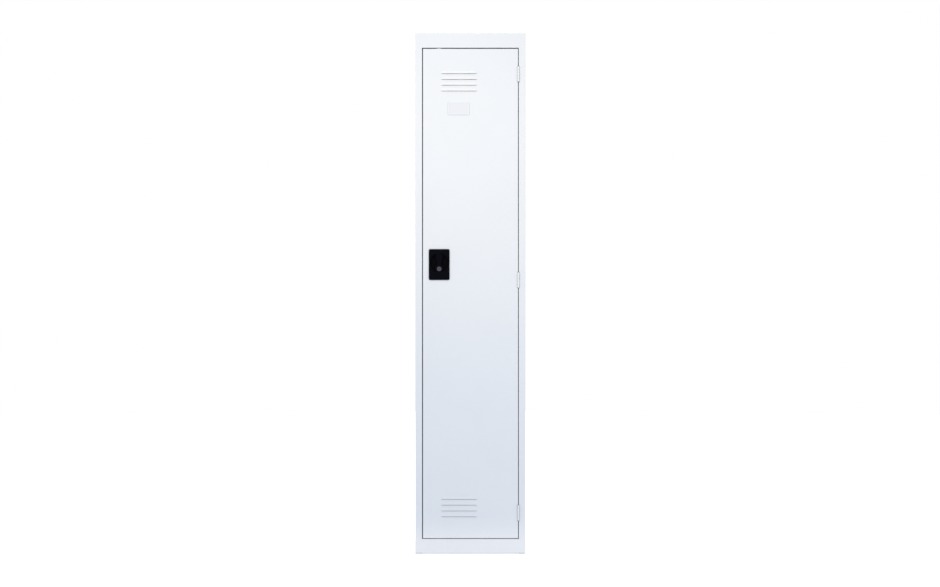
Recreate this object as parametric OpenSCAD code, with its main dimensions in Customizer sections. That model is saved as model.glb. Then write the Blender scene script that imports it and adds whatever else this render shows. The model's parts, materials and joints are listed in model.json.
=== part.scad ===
// Single-door steel locker cabinet with a recessed turn handle and three-point locking.
// Millimetres. +Z is up, the front faces -Y, and the origin is on the floor under the middle.

/* [Cabinet] */
// Width across the outside
cab_w = 380; // [376:1:384]
// Depth from the front face to the back face
cab_d = 450; // [440:5:500]
// Height from the floor to the roof
cab_h = 1800; // [1790:5:1850]
// Thickness of the steel sheet
sheet_t = 0.8; // [0.7:0.1:0.9]
// Inside radius of every fold
fold_r = 0.8; // [0.6:0.1:1]

/* [Door frame] */
// Width of the upright on each side of the door
stile_w = 23; // [22:0.5:24]
// Height of the front rail above the door
head_h = 50.5; // [48:0.5:54]
// Height of the kick plate below the door
kick_h = 51.5; // [50:0.5:54]
// Depth of the jamb behind the front face
jamb_d = 20; // [20:0.5:21]
// Width of the stop lip behind the edges of the door
stop_w = 12; // [10:1:13]
// Height of the cabinet floor above the kick plate
floor_step = 11.5; // [10:0.5:13]
// Width of the flanges that join the panels
flange_w = 18; // [16:1:20]

/* [Door] */
// Gap between the door and the frame on the lock side
gap_lock = 2.8; // [2:0.1:3]
// Gap between the door and the frame on the hinge side
gap_hinge = 2; // [2:0.1:2.2]
// Gap above the door
gap_top = 3; // [2.2:0.1:3]
// Gap below the door
gap_low = 2; // [1.8:0.1:2.5]
// Depth of the door pan
door_d = 18; // [17:0.5:18]
// Width of the lip around the back of the door pan
door_lip = 12; // [10:1:12]
// Width of the door stiffener against the skin
stiff_w = 18; // [16:1:20]
// Depth of the door stiffener
stiff_d = 15; // [12:1:15]
// Centre of the door stiffener across the width
stiff_x = -34; // [-40:1:-30]

/* [Louvres] */
// Louvres in each set
louvre_count = 4; // [2:1:5]
// Length of a louvre
louvre_len = 124; // [110:1:130]
// Distance from one louvre to the next
louvre_pitch = 20; // [18:1:22]
// Height of a louvre
louvre_h = 10; // [8:0.5:12]
// Distance that a louvre stands out from the skin
louvre_out = 2.4; // [2:0.1:4]
// Centre of the louvres across the width
louvre_x = -39; // [-42:1:-36]
// Height of the lowest edge in the upper set
louvre_top_z = 1600; // [1590:1:1610]
// Height of the lowest edge in the lower set
louvre_low_z = 128; // [120:1:140]

/* [Card holder] */
// Width of the card holder
card_w = 74; // [70:1:78]
// Height of the card holder
card_h = 41; // [38:1:44]
// Centre of the card holder across the width
card_x = -41; // [-45:1:-37]
// Bottom edge of the card holder
card_z = 1518; // [1510:1:1525]

/* [Handle and lock] */
// Width of the black handle plate
plate_w = 71.5; // [70:0.5:74]
// Height of the black handle plate
plate_h = 106.5; // [104:0.5:108]
// Height of the middle of the handle plate
plate_z = 1000; // [999:0.5:1001]
// Distance that the handle plate stands out from the skin
plate_out = 3; // [2.5:0.1:3.2]
// Handle axis across the width
lock_x = -108; // [-109:0.5:-107]
// Height of the handle axis
lock_z = 1006; // [1005:0.5:1007]
// Radius of the dish that the handle turns in
dish_r = 31.8; // [31.6:0.1:32]
// Depth of the dish floor behind the skin's front face
dish_d = 10; // [9.8:0.1:10.2]
// Radius of the ends of the handle
handle_r = 31; // [30.8:0.1:31.2]
// Distance from the handle axis down to the key axis
key_drop = 21; // [20.5:0.5:21.5]
// Height of the crank pins above and below the handle axis
crank_c = 11; // [10.5:0.1:11]
// Length of the latch tongue from the handle axis
tongue_len = 55; // [52:1:56]

/* [Lock rods] */
// Width of the flat lock rods
rod_w = 12; // [10:1:12]
// Thickness of the flat lock rods
rod_t = 2; // [1.8:0.1:2]

/* [Hinges] */
// Height of the top hinge
hinge_top_z = 1659; // [1640:1:1670]
// Height of the middle hinge
hinge_mid_z = 946.5; // [900:0.5:1000]
// Height of the bottom hinge
hinge_low_z = 141.5; // [130:0.5:160]
// Length of a hinge barrel
hinge_len = 52; // [48:1:54]
// Radius of a hinge pin
pin_r = 1.75; // [1.7:0.05:1.75]
// Thickness of a hinge leaf
leaf_t = 1.7; // [1.6:0.1:1.7]

/* [Interior] */
// Height of the hat shelf
shelf_z = 1470; // [1440:5:1500]
// Height of the coat rail
rail_z = 1415; // [1400:5:1420]
// Radius of the coat rail
rail_r = 9.5; // [8:0.5:10]

/* [Fixing holes] */
// Radius of the holes for bolting lockers together
gang_r = 4.25; // [3:0.25:5]
// Distance between those holes from front to back
gang_y = 350; // [300:10:360]
// Distance between those holes from low to high
gang_z = 1500; // [1400:10:1500]
// Radius of the holes for bolting to a wall
wall_r = 4.25; // [3:0.25:5]
// Distance between the holes for bolting to a wall
wall_x = 260; // [200:10:280]
// Height of the holes for bolting to a wall
wall_z = 1740; // [1700:5:1750]

/* [Hidden] */
$fn = 64;

// Colours
powder_white = [0.93, 0.95, 0.97];
moulded_black = [0.07, 0.07, 0.08];
zinc_plate = [0.72, 0.73, 0.74];
bright_metal = [0.82, 0.83, 0.85];
rubber_grey = [0.25, 0.25, 0.26];
card_cream = [0.95, 0.94, 0.9];

// Running and assembly clearances
run_gap = 0.05;
move_gap = 0.4;
cut = 1; // how far a cutting shape runs past the face that it cuts

// Hinge barrel: its axis stands in front of the skin, in the middle of the hinge-side gap
hinge_out = 1.5;
bore_r = pin_r + run_gap;
barrel_r = bore_r + leaf_t;
knuckles = 5;
knuckle_gap = 0.4;
knuckle_h = (hinge_len - (knuckles - 1) * knuckle_gap) / knuckles;
leaf_reach = 15.5;
leaf_root = 0.6;
pin_head_t = 0.8;
pin_head_r = pin_r + 0.7;
notch_r = barrel_r + move_gap;
pin_end_gap = 0.1;
notch_end_gap = 0.6;
notch_h = hinge_len + 2 * (pin_head_t + pin_end_gap + notch_end_gap);

// Faces of the cabinet; the hinge barrels reach as far forward as the back face reaches back
front_y = -cab_d / 2 + (barrel_r + hinge_out) / 2;
back_y = front_y + cab_d;
side_x = cab_w / 2;
in_x = side_x - sheet_t;
fold_out = fold_r + sheet_t;

// Door opening and door
open_x = side_x - stile_w;
open_top = cab_h - head_h;
open_low = kick_h;
door_left = -open_x + gap_lock;
door_right = open_x - gap_hinge;
door_top = open_top - gap_top;
door_low = open_low + gap_low;
door_back = front_y + door_d;
stop_y = front_y + jamb_d;
stop_face = stop_y - sheet_t;
return_h = 15;
stop_x = -open_x + stop_w;
floor_z = kick_h + floor_step;
floor_flange_gap = 4;
hinge_x = open_x - gap_hinge / 2;
hinge_y = front_y - hinge_out;

// Door stiffener: width of its rims, and its distance from the ends of the door
stiff_rim = 8;
stiff_end = 22;

// Card holder and card, as distances in front of the skin
holder_wall = 0.5;
holder_out = 1.7;
holder_lip = 5;
name_card_out = 1;
name_card_t = 0.3;
name_card_play = 1;

// Louvre section: the open slit under its lip, where its inner face turns at the lip,
// and where it leaves the skin
louvre_slit = 1;
louvre_bend = 0.3;
louvre_root = 1.5;

// Lock mechanism, as distances behind the skin's front face
handle_front = -2;
handle_back = dish_d - move_gap;
tub_wall = 1.8;
tub_floor = 2.5;
hub_back = jamb_d - 0.2;
hub_r = 10;
spindle_r = 6;
cam_front = jamb_d + 0.5;
cam_t = 2;
cam_back = cam_front + cam_t;
cam_r = 20;
tongue_w = 16;
square_c = 4;
crank_r = 2.2;
crank_over = 1;
foot_front = cam_back + 0.5;
foot_back = foot_front + rod_t;
rod_front = 8.5;
rod_back = rod_front + rod_t;
screw_hole_r = 2.1;
screw_hole_front = handle_back + 2;
cam_screw_front = handle_back + 3;
cam_screw_r = 2;
cam_head_r = 4.2;
cam_head_t = 2.8;

// Handle plate, retainers and their screws
plate_corner = 4.5;
boss_z = [plate_z + 46.5, plate_z - 43];
boss_r = 4;
boss_back = 9;
boss_hole_r = 1.7;
retainer_t = 1.2;
retainer_half = 38;
retainer_foot = 8;
retainer_h = 12;
retainer_screw_r = 1.6;
retainer_hole_r = 2;
retainer_screw_front = 3;
retainer_head_r = 3.4;
retainer_head_t = 2.2;
boss_hole_front = 1;
skin_cut_gap = 0.4;

// Key cylinder and the bolt that it throws
barrel_body_r = 7.2;
bezel_r = 7.9;
bezel_t = 1.4;
plug_bore_r = 6;
plug_back = 4.2;
key_slot_w = 7.2;
key_slot_h = 1.8;
key_slot_d = 5;
throw_c = 2;
throw_r = 1.2;
bolt_front = plug_back + 0.5;
bolt_back = bolt_front + 4.5;
bolt_wide = 6;
bolt_narrow = 4;
bolt_top = key_drop - 5;
bolt_step = bolt_top + 6.4;
bolt_tip = handle_r - 0.4;
bolt_travel = 2 * throw_c;
throw_play = 0.9;
seat_gap = 0.1;
window_w = 2 * bolt_narrow + 1.2;
window_h = 8;
window_out = 5;

// Handle outline
grip_top_w = 29;
grip_waist_w = 13.6;
grip_waist_z = -6;
grip_neck = 6;
key_boss_r = 16;

// Rods: feet by the cam, a joggle clear of the handle plate, and tips just short of the slots
foot_in = 5;
foot_out = 22;
foot_end = 17.5;
foot_neck = 22;
joggle_start = 60;
joggle_run = 20;
joggle_lag = 1;
foot_top = joggle_start - joggle_run;
slot_gap = 0.9;
slot_end_gap = 0.5;
tip_top = open_top - 0.6;
tip_low = open_low + 2.2;
frame_slot_w = 24;
frame_slot_d = 8;
door_slot_gap = 1;
guide_z = [1500, 1200, 700, 350];
guide_w = 28;
guide_h = 16;
guide_back = 14;

// Screws
screw_r = 2.4;
screw_gap = 0.1;
screw_head_r = 4.5;
screw_head_t = 2.4;
screw_flush = 0.1;
screw_y = [-150, 0, 150];
shelf_screw_y = [-130, 130];
back_screw_z = [100, 500, 900, 1300, 1700];
screw_edge = 10;
roof_screw_z = cab_h - screw_edge - 1;
floor_screw_z = floor_z - screw_edge;
back_screw_x = side_x - screw_edge;

// Interior
shelf_front = front_y + 34;
shelf_back = back_y - 10;
shelf_apron = 20;
shelf_flange = 14;
shelf_screw_z = shelf_z - 8;
socket_r = 15;
socket_sleeve_r = 11.5;
socket_plate_t = 2.5;
socket_depth = 14;
socket_tab_r = 6;
rail_screw_r = 1.75;
rail_screw_y = 17;
rail_head_r = 3.2;
rail_head_t = 1.6;
rail_wall = 1.2;
rail_end_gap = 0.5;
socket_gap = 0.1;
bead_x = 95;
bead_w = 40;
bead_d = 4;
bead_end = 120;
buffer_r = 5;
buffer_z = [250, 900, 1550];
buffer_gap = 0.3;

// Folded sheet drawn as a flat profile: path is the middle line, with right-angled corners
module fold_run(a, b, t) {
  low = [min(a[0], b[0]), min(a[1], b[1])];
  size = [abs(a[0] - b[0]), abs(a[1] - b[1])];
  grow = [size[0] > size[1] ? 0 : t, size[0] > size[1] ? t : 0];
  translate(low - grow / 2) square(size + grow);
}
module fold_corner(centre, d0, d1, rm, t) {
  reach = rm + t;
  intersection() {
    difference() {
      translate(centre) circle(r = rm + t / 2);
      translate(centre) circle(r = rm - t / 2);
    }
    polygon([centre, centre + d0 * reach, centre + (d0 - d1) * reach, centre - d1 * reach]);
  }
}
function unit(v) = v / norm(v);
module folded(path, t = sheet_t) {
  rm = fold_r + t / 2;
  last = len(path) - 1;
  for (i = [0 : last - 1]) {
    d = unit(path[i + 1] - path[i]);
    from = i == 0 ? path[i] : path[i] + d * rm;
    to = i + 1 == last ? path[i + 1] : path[i + 1] - d * rm;
    fold_run(from, to, t);
  }
  for (i = [1 : last - 1]) {
    d0 = unit(path[i] - path[i - 1]);
    d1 = unit(path[i + 1] - path[i]);
    fold_corner(path[i] - d0 * rm + d1 * rm, d0, d1, rm, t);
  }
}

// Extrusions of a profile: upwards, across the width, and back from the front face
module up(z0, z1) {
  translate([0, 0, z0]) linear_extrude(z1 - z0) children();
}
module across(x0, x1) {
  translate([x0, 0, 0]) rotate([90, 0, 90]) linear_extrude(x1 - x0) children();
}
module behind(y0, y1) {
  translate([0, y1, 0]) rotate([90, 0, 0]) linear_extrude(y1 - y0) children();
}
module block(x0, x1, y0, y1, z0, z1) {
  translate([x0, y0, z0]) cube([x1 - x0, y1 - y0, z1 - z0]);
}
// Round bar from front to back at x, z; its ends are given behind the skin's front face
module peg(x, z, r, d0, d1) {
  translate([x, front_y + d0, z]) rotate([-90, 0, 0]) cylinder(r = r, h = d1 - d0);
}
// Round bar across the width
module cross_bar(x0, x1, y, z, r) {
  translate([x0, y, z]) rotate([0, 90, 0]) cylinder(r = r, h = x1 - x0);
}
module at_lock(d0, d1) {
  translate([lock_x, 0, lock_z]) behind(front_y + d0, front_y + d1) children();
}

// Side panels: rear flange, side, stile, jamb and, on the lock side, the stop lip
function rear_and_side(s) = [
  [s * (side_x - flange_w), back_y - sheet_t / 2],
  [s * (side_x - sheet_t / 2), back_y - sheet_t / 2],
  [s * (side_x - sheet_t / 2), front_y + sheet_t / 2]
];
module side_panel(s, with_stop) {
  half = sheet_t / 2;
  stile_end = [[s * open_x, front_y + half]];
  jamb_x = s * (open_x + half);
  jamb = [[jamb_x, front_y + half], [jamb_x, stop_y - (with_stop ? half : 0)]];
  lip = with_stop ? [[s * (open_x - stop_w), stop_y - half]] : [];
  difference() {
    union() {
      up(0, open_low) folded(concat(rear_and_side(s), stile_end));
      up(open_low, open_top) folded(concat(rear_and_side(s), jamb, lip));
      up(open_top, cab_h) folded(concat(rear_and_side(s), stile_end));
      foot_x = [s * in_x, s * (in_x - flange_w)];
      block(min(foot_x), max(foot_x), front_y + jamb_d, back_y - jamb_d, 0, sheet_t);
    }
    block(-in_x, in_x, front_y + sheet_t, back_y - sheet_t, cab_h - sheet_t, cab_h + cut);
    gang_holes(s);
    for (y = screw_y, z = [roof_screw_z, floor_screw_z]) side_hole(s, y, z, screw_r + screw_gap);
    for (y = shelf_screw_y) side_hole(s, y, shelf_screw_z, screw_r + screw_gap);
    for (y = [-rail_screw_y, rail_screw_y]) side_hole(s, y, rail_z, rail_screw_r + screw_gap);
    for (z = back_screw_z) back_hole(s * back_screw_x, z, screw_r + screw_gap);
    if (!with_stop) hinge_notches(open_x - cut, hinge_x + notch_r);
  }
}
module side_hole(s, y, z, r) {
  ends = [s * (in_x - 2 * cut), s * (side_x + cut)];
  cross_bar(min(ends), max(ends), y, z, r);
}
module back_hole(x, z, r) {
  translate([x, back_y - 3 * cut, z]) rotate([-90, 0, 0]) cylinder(r = r, h = 4 * cut);
}
module gang_holes(s) {
  for (y = [-gang_y / 2, gang_y / 2], z = [-gang_z / 2, gang_z / 2])
    side_hole(s, y, cab_h / 2 + z, gang_r);
}
module hinge_notches(x0, x1) {
  for (z = [hinge_top_z, hinge_mid_z, hinge_low_z])
    block(x0, x1, front_y - cut, hinge_y + notch_r, z - notch_h / 2, z + notch_h / 2);
}
module left_side_panel() { color(powder_white) side_panel(-1, true); }
module right_side_panel() { color(powder_white) side_panel(1, false); }

// Top panel: roof, front rail, lintel and its return, with flanges at the sides and the back
module top_panel() {
  half = sheet_t / 2;
  color(powder_white) difference() {
    union() {
      across(-open_x, open_x) folded([
        [stop_face - half, open_top + return_h],
        [stop_face - half, open_top + half],
        [front_y + half, open_top + half],
        [front_y + half, cab_h - half],
        [front_y + jamb_d, cab_h - half]
      ]);
      for (s = [[-in_x, -open_x], [open_x, in_x]])
        block(s[0], s[1], front_y + sheet_t, back_y - sheet_t, cab_h - sheet_t, cab_h);
      block(-open_x, open_x, front_y + fold_out, back_y - sheet_t, cab_h - sheet_t, cab_h);
      tail_x = side_x - flange_w;
      block(-tail_x, tail_x, back_y - sheet_t, back_y, cab_h - flange_w, cab_h);
      for (x = [-in_x, in_x - sheet_t])
        block(x, x + sheet_t, front_y + jamb_d, back_y - jamb_d, cab_h - flange_w, cab_h);
    }
    rod_slot(open_top);
    for (s = [-1, 1], y = screw_y) side_hole(s, y, roof_screw_z, screw_r + screw_gap);
  }
}
module rod_slot(z) {
  mid = front_y + (rod_front + rod_back) / 2;
  block(lock_x - frame_slot_w / 2, lock_x + frame_slot_w / 2,
        mid - frame_slot_d / 2, mid + frame_slot_d / 2, z - 2 * cut, z + 2 * cut);
}

// Stop strip behind the lintel's return
module head_stop() {
  color(powder_white)
    block(stop_x, open_x, stop_face, stop_y, open_top - stop_w + gap_top / 2, open_top + return_h);
}

// Kick plate: foot return, front, threshold and its return
module kick_plate() {
  half = sheet_t / 2;
  color(powder_white) difference() {
    across(-open_x, open_x) folded([
      [front_y + flange_w, half],
      [front_y + half, half],
      [front_y + half, kick_h - half],
      [stop_face - half, kick_h - half],
      [stop_face - half, kick_h - return_h]
    ]);
    rod_slot(open_low);
  }
}

// Base panel: raised floor, whose front apron is the lower stop
module base_panel() {
  half = sheet_t / 2;
  color(powder_white) difference() {
    union() {
      across(-open_x, open_x) folded([
        [stop_y - half, kick_h - return_h],
        [stop_y - half, floor_z - half],
        [stop_y + jamb_d, floor_z - half]
      ]);
      difference() {
        block(-in_x, in_x, stop_y, back_y - 2 * sheet_t, floor_z - sheet_t, floor_z);
        block(stop_x, open_x, stop_y - cut, stop_y + fold_r, floor_z - 2 * cut, floor_z + cut);
      }
      for (x = [-in_x, in_x - sheet_t])
        block(x, x + sheet_t, stop_y + floor_flange_gap, back_y - jamb_d, floor_z - flange_w, floor_z);
      block(-open_x, open_x, back_y - 3 * sheet_t, back_y - 2 * sheet_t, floor_z - flange_w, floor_z);
    }
    block(-side_x, stop_x, stop_face - cut, stop_y, kick_h, floor_z + cut);
    for (s = [-1, 1], y = screw_y) side_hole(s, y, floor_screw_z, screw_r + screw_gap);
  }
}

// Back panel with two pressed beads
module back_panel() {
  y0 = back_y - 2 * sheet_t;
  top = cab_h - sheet_t;
  color(powder_white) difference() {
    union() {
      block(-in_x + fold_r, in_x - fold_r, y0, y0 + sheet_t, 0, top);
      for (x = [-bead_x, bead_x])
        block(x - bead_w / 2, x + bead_w / 2, y0 - bead_d, y0, bead_end, cab_h - bead_end);
    }
    for (x = [-bead_x, bead_x])
      block(x - bead_w / 2 + sheet_t, x + bead_w / 2 - sheet_t, y0 - bead_d + sheet_t, back_y,
            bead_end + sheet_t, cab_h - bead_end - sheet_t);
    for (s = [-1, 1], z = back_screw_z) back_hole(s * back_screw_x, z, screw_r + screw_gap);
    for (x = [-wall_x / 2, wall_x / 2]) back_hole(x, wall_z, wall_r);
  }
}

// Hat shelf: front apron with a return, plate, and side flanges
module hat_shelf() {
  half = sheet_t / 2;
  edge = in_x - fold_out;
  color(powder_white) difference() {
    union() {
      across(-edge, edge) folded([
        [shelf_front + shelf_flange, shelf_z - shelf_apron + half],
        [shelf_front + half, shelf_z - shelf_apron + half],
        [shelf_front + half, shelf_z - half],
        [shelf_back - half, shelf_z - half],
        [shelf_back - half, shelf_z - shelf_flange]
      ]);
      translate([0, shelf_back - jamb_d, 0]) rotate([90, 0, 0])
        linear_extrude(shelf_back - shelf_front - 2 * jamb_d) folded([
          [-in_x + half, shelf_z - shelf_flange],
          [-in_x + half, shelf_z - half],
          [in_x - half, shelf_z - half],
          [in_x - half, shelf_z - shelf_flange]
        ]);
    }
    for (s = [-1, 1], y = shelf_screw_y) side_hole(s, y, shelf_screw_z, screw_r + screw_gap);
  }
}

// Coat rail and the sockets that hold it
module coat_rail() {
  end = in_x - socket_plate_t - rail_end_gap;
  color(bright_metal) difference() {
    cross_bar(-end, end, 0, rail_z, rail_r);
    cross_bar(-end - cut, end + cut, 0, rail_z, rail_r - rail_wall);
  }
}
module rail_sockets() {
  color(moulded_black) for (s = [-1, 1]) {
    plate = [s * (in_x - socket_plate_t), s * in_x];
    sleeve = [s * (in_x - socket_depth), s * (in_x - socket_plate_t)];
    difference() {
      union() {
        cross_bar(min(plate), max(plate), 0, rail_z, socket_r);
        for (y = [-rail_screw_y, rail_screw_y])
          cross_bar(min(plate), max(plate), y, rail_z, socket_tab_r);
        cross_bar(min(sleeve), max(sleeve), 0, rail_z, socket_sleeve_r);
      }
      cross_bar(min(sleeve) - cut, max(sleeve), 0, rail_z, rail_r + socket_gap);
      for (y = [-rail_screw_y, rail_screw_y])
        cross_bar(min(plate) - cut, max(plate) + cut, y, rail_z, rail_screw_r + screw_gap);
    }
  }
}
// Screws through a side panel, with the head inside and the tip flush with the outer face
module side_screw(s, y, z, head_x, r, head_r, head_t) {
  shank = [s * head_x, s * (side_x - screw_flush)];
  head = [s * (head_x - head_t), s * head_x];
  cross_bar(min(shank), max(shank), y, z, r);
  cross_bar(min(head), max(head), y, z, head_r);
}
module rail_screws() {
  color(zinc_plate) for (s = [-1, 1], y = [-rail_screw_y, rail_screw_y])
    side_screw(s, y, rail_z, in_x - socket_plate_t, rail_screw_r, rail_head_r, rail_head_t);
}
module shelf_screws() {
  color(zinc_plate) for (s = [-1, 1], y = shelf_screw_y)
    side_screw(s, y, shelf_screw_z, in_x - sheet_t, screw_r, screw_head_r, screw_head_t);
}
module panel_screws() {
  color(zinc_plate) for (s = [-1, 1], y = screw_y, z = [roof_screw_z, floor_screw_z])
    side_screw(s, y, z, in_x - sheet_t, screw_r, screw_head_r, screw_head_t);
}
module back_screws() {
  head_y = back_y - 2 * sheet_t;
  color(zinc_plate) for (s = [-1, 1], z = back_screw_z)
    translate([s * back_screw_x, head_y, z]) rotate([-90, 0, 0]) {
      cylinder(r = screw_r, h = 2 * sheet_t - screw_flush);
      translate([0, 0, -screw_head_t]) cylinder(r = screw_head_r, h = screw_head_t);
    }
}

// Rubber buffers on the stop lip
module door_buffers() {
  color(rubber_grey) for (z = buffer_z)
    peg((stop_x - open_x) / 2, z, buffer_r, door_d + buffer_gap, jamb_d - sheet_t);
}

// Hinges: five knuckles on one pin, three on the frame leaf and two on the door leaf
module hinge_leaf(z, s, first) {
  low = z - hinge_len / 2;
  plate = [hinge_x + s * bore_r, hinge_x + s * barrel_r];
  difference() {
    union() {
      for (i = [first : 2 : knuckles - 1]) {
        z0 = low + i * (knuckle_h + knuckle_gap);
        translate([hinge_x, hinge_y, z0]) cylinder(r = barrel_r, h = knuckle_h);
        block(min(plate), max(plate), hinge_y + leaf_root, hinge_y + notch_r + cut, z0, z0 + knuckle_h);
      }
      block(min(plate), max(plate), hinge_y + notch_r, hinge_y + leaf_reach, low, low + hinge_len);
    }
    translate([hinge_x, hinge_y, low - cut]) cylinder(r = bore_r, h = hinge_len + 2 * cut);
  }
}
module hinge_pin(z) {
  low = z - hinge_len / 2 - pin_end_gap;
  high = z + hinge_len / 2 + pin_end_gap;
  translate([hinge_x, hinge_y, low]) cylinder(r = pin_r, h = high - low);
  translate([hinge_x, hinge_y, low - pin_head_t]) cylinder(r = pin_head_r, h = pin_head_t);
  translate([hinge_x, hinge_y, high]) cylinder(r = pin_head_r, h = pin_head_t);
}
module frame_hinge_leaf_top() { color(powder_white) hinge_leaf(hinge_top_z, 1, 0); }
module frame_hinge_leaf_middle() { color(powder_white) hinge_leaf(hinge_mid_z, 1, 0); }
module frame_hinge_leaf_bottom() { color(powder_white) hinge_leaf(hinge_low_z, 1, 0); }
module door_hinge_leaf_top() { color(powder_white) hinge_leaf(hinge_top_z, -1, 1); }
module door_hinge_leaf_middle() { color(powder_white) hinge_leaf(hinge_mid_z, -1, 1); }
module door_hinge_leaf_bottom() { color(powder_white) hinge_leaf(hinge_low_z, -1, 1); }
module hinge_pin_top() { color(powder_white) hinge_pin(hinge_top_z); }
module hinge_pin_middle() { color(powder_white) hinge_pin(hinge_mid_z); }
module hinge_pin_bottom() { color(powder_white) hinge_pin(hinge_low_z); }

// Door: a pan folded from one sheet, with louvres pressed outwards and open at their lower edges
module louvre(z) {
  lip = louvre_h / 4;
  inner = sheet_t - louvre_out;
  x0 = louvre_x - louvre_len / 2;
  x1 = louvre_x + louvre_len / 2;
  translate([0, front_y, z]) {
    across(x0, x1) polygon([
      [0, louvre_h], [-louvre_out, lip], [-louvre_out, louvre_slit], [inner, louvre_slit],
      [inner, lip - louvre_bend], [sheet_t, louvre_h - louvre_root], [sheet_t, louvre_h]
    ]);
    for (x = [x0, x1 - sheet_t]) across(x, x + sheet_t)
      polygon([[0, louvre_h], [-louvre_out, lip], [-louvre_out, louvre_slit], [0, louvre_slit]]);
  }
}
module louvre_slot(z) {
  half = louvre_len / 2 - sheet_t;
  block(louvre_x - half, louvre_x + half, front_y - cut, front_y + 2 * cut,
        z, z + louvre_h - louvre_root);
}
louvre_edges = [
  for (z0 = [louvre_top_z, louvre_low_z], i = [0 : louvre_count - 1]) z0 + i * louvre_pitch
];
module door_panel() {
  half = sheet_t / 2;
  rear = door_back - half;
  color(powder_white) {
    difference() {
      union() {
        up(door_low + fold_out, door_top - fold_out) folded([
          [door_left + door_lip, rear], [door_left + half, rear],
          [door_left + half, front_y + half], [door_right - half, front_y + half],
          [door_right - half, rear], [door_right - door_lip, rear]
        ]);
        for (end = [[door_top, -1], [door_low, 1]])
          across(door_left + fold_out, door_right - fold_out) folded([
            [rear, end[0] + end[1] * door_lip], [rear, end[0] + end[1] * half],
            [front_y + half, end[0] + end[1] * half], [front_y + half, end[0] + end[1] * door_lip]
          ]);
      }
      for (z = louvre_edges) louvre_slot(z);
      peg(lock_x, lock_z, dish_r + tub_wall + skin_cut_gap, -cut, 2 * cut);
      block(lock_x - boss_r - cut, lock_x + boss_r + cut, front_y - cut, front_y + 2 * cut,
            boss_z[1] - boss_r - cut, boss_z[0] + boss_r + cut);
      block(lock_x - rod_w / 2 - door_slot_gap, lock_x + rod_w / 2 + door_slot_gap,
            front_y + rod_front - door_slot_gap, front_y + rod_back + door_slot_gap,
            door_low - cut, door_top + cut);
      hinge_notches(hinge_x - notch_r, door_right + cut);
    }
    for (z = louvre_edges) louvre(z);
  }
}

// Door stiffener: a channel with its web against the skin
module door_stiffener() {
  half = sheet_t / 2;
  web_y = front_y + sheet_t + half;
  leg_x = stiff_w / 2 - half;
  rim_y = front_y + sheet_t + stiff_d - half;
  rim_x = stiff_w / 2 + stiff_rim;
  color(powder_white) up(door_low + stiff_end, door_top - stiff_end) folded([
    [stiff_x - rim_x, rim_y], [stiff_x - leg_x, rim_y], [stiff_x - leg_x, web_y],
    [stiff_x + leg_x, web_y], [stiff_x + leg_x, rim_y], [stiff_x + rim_x, rim_y]
  ]);
}

// Card holder: open at the top, with a lip on the other three sides
module card_holder() {
  x0 = card_x - card_w / 2;
  x1 = card_x + card_w / 2;
  top = card_z + card_h + cut;
  color(powder_white) difference() {
    block(x0, x1, front_y - holder_out, front_y, card_z, card_z + card_h);
    block(x0 + holder_wall, x1 - holder_wall, front_y - holder_out + holder_wall,
          front_y - holder_wall, card_z + holder_wall, top);
    block(x0 + holder_lip, x1 - holder_lip, front_y - holder_out - cut, front_y - holder_wall,
          card_z + holder_lip, top);
  }
}
module name_card() {
  half = card_w / 2 - name_card_play;
  front = front_y - name_card_out;
  color(card_cream) block(card_x - half, card_x + half, front, front + name_card_t,
                          card_z + holder_wall, card_z + card_h - name_card_play);
}

// Handle plate and dish
module rounded_plate(w, h, r) {
  square([w - 2 * r, h], center = true);
  square([w, h - 2 * r], center = true);
  for (x = [-1, 1], y = [-1, 1]) translate([x * (w / 2 - r), y * (h / 2 - r)]) circle(r = r);
}
module lock_housing() {
  color(moulded_black) difference() {
    union() {
      translate([lock_x, 0, plate_z]) behind(front_y - plate_out, front_y)
        rounded_plate(plate_w, plate_h, plate_corner);
      peg(lock_x, lock_z, dish_r + tub_wall, -cut, dish_d + tub_floor);
      peg(lock_x, lock_z, hub_r, dish_d, hub_back);
      for (z = boss_z) peg(lock_x, z, boss_r, -cut, boss_back);
    }
    peg(lock_x, lock_z, dish_r, -plate_out - cut, dish_d);
    peg(lock_x, lock_z, spindle_r + run_gap, 0, hub_back + cut);
    for (z = boss_z) peg(lock_x, z, boss_hole_r, boss_hole_front, boss_back + cut);
    at_lock(plug_back - seat_gap, dish_d - 2 * seat_gap) {
      translate([-window_w / 2, -dish_r - window_out]) square([window_w, window_h]);
      translate([-dish_r - window_out, -window_w / 2]) square([window_h, window_w]);
    }
  }
}
module lock_retainers() {
  half = retainer_t / 2;
  foot = front_y + sheet_t + half;
  web = front_y + boss_back + half;
  color(zinc_plate) for (z = boss_z) difference() {
    up(z - retainer_h / 2, z + retainer_h / 2) translate([lock_x, 0]) folded([
      [-retainer_half - retainer_foot, foot], [-retainer_half, foot], [-retainer_half, web],
      [retainer_half, web], [retainer_half, foot], [retainer_half + retainer_foot, foot]
    ], retainer_t);
    peg(lock_x, z, retainer_hole_r, boss_back - cut, boss_back + 3 * cut);
  }
}
module retainer_screws() {
  head = boss_back + retainer_t;
  color(zinc_plate) for (z = boss_z) {
    peg(lock_x, z, retainer_screw_r, retainer_screw_front, head);
    peg(lock_x, z, retainer_head_r, head, head + retainer_head_t);
  }
}
module rod_guides() {
  mid = front_y + (rod_front + rod_back) / 2;
  color(moulded_black) for (z = guide_z) difference() {
    block(lock_x - guide_w / 2, lock_x + guide_w / 2, front_y + sheet_t, front_y + guide_back,
          z - guide_h / 2, z + guide_h / 2);
    block(lock_x - rod_w / 2 - move_gap, lock_x + rod_w / 2 + move_gap,
          mid - rod_t / 2 - move_gap, mid + rod_t / 2 + move_gap, z - guide_h, z + guide_h);
  }
}

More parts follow.
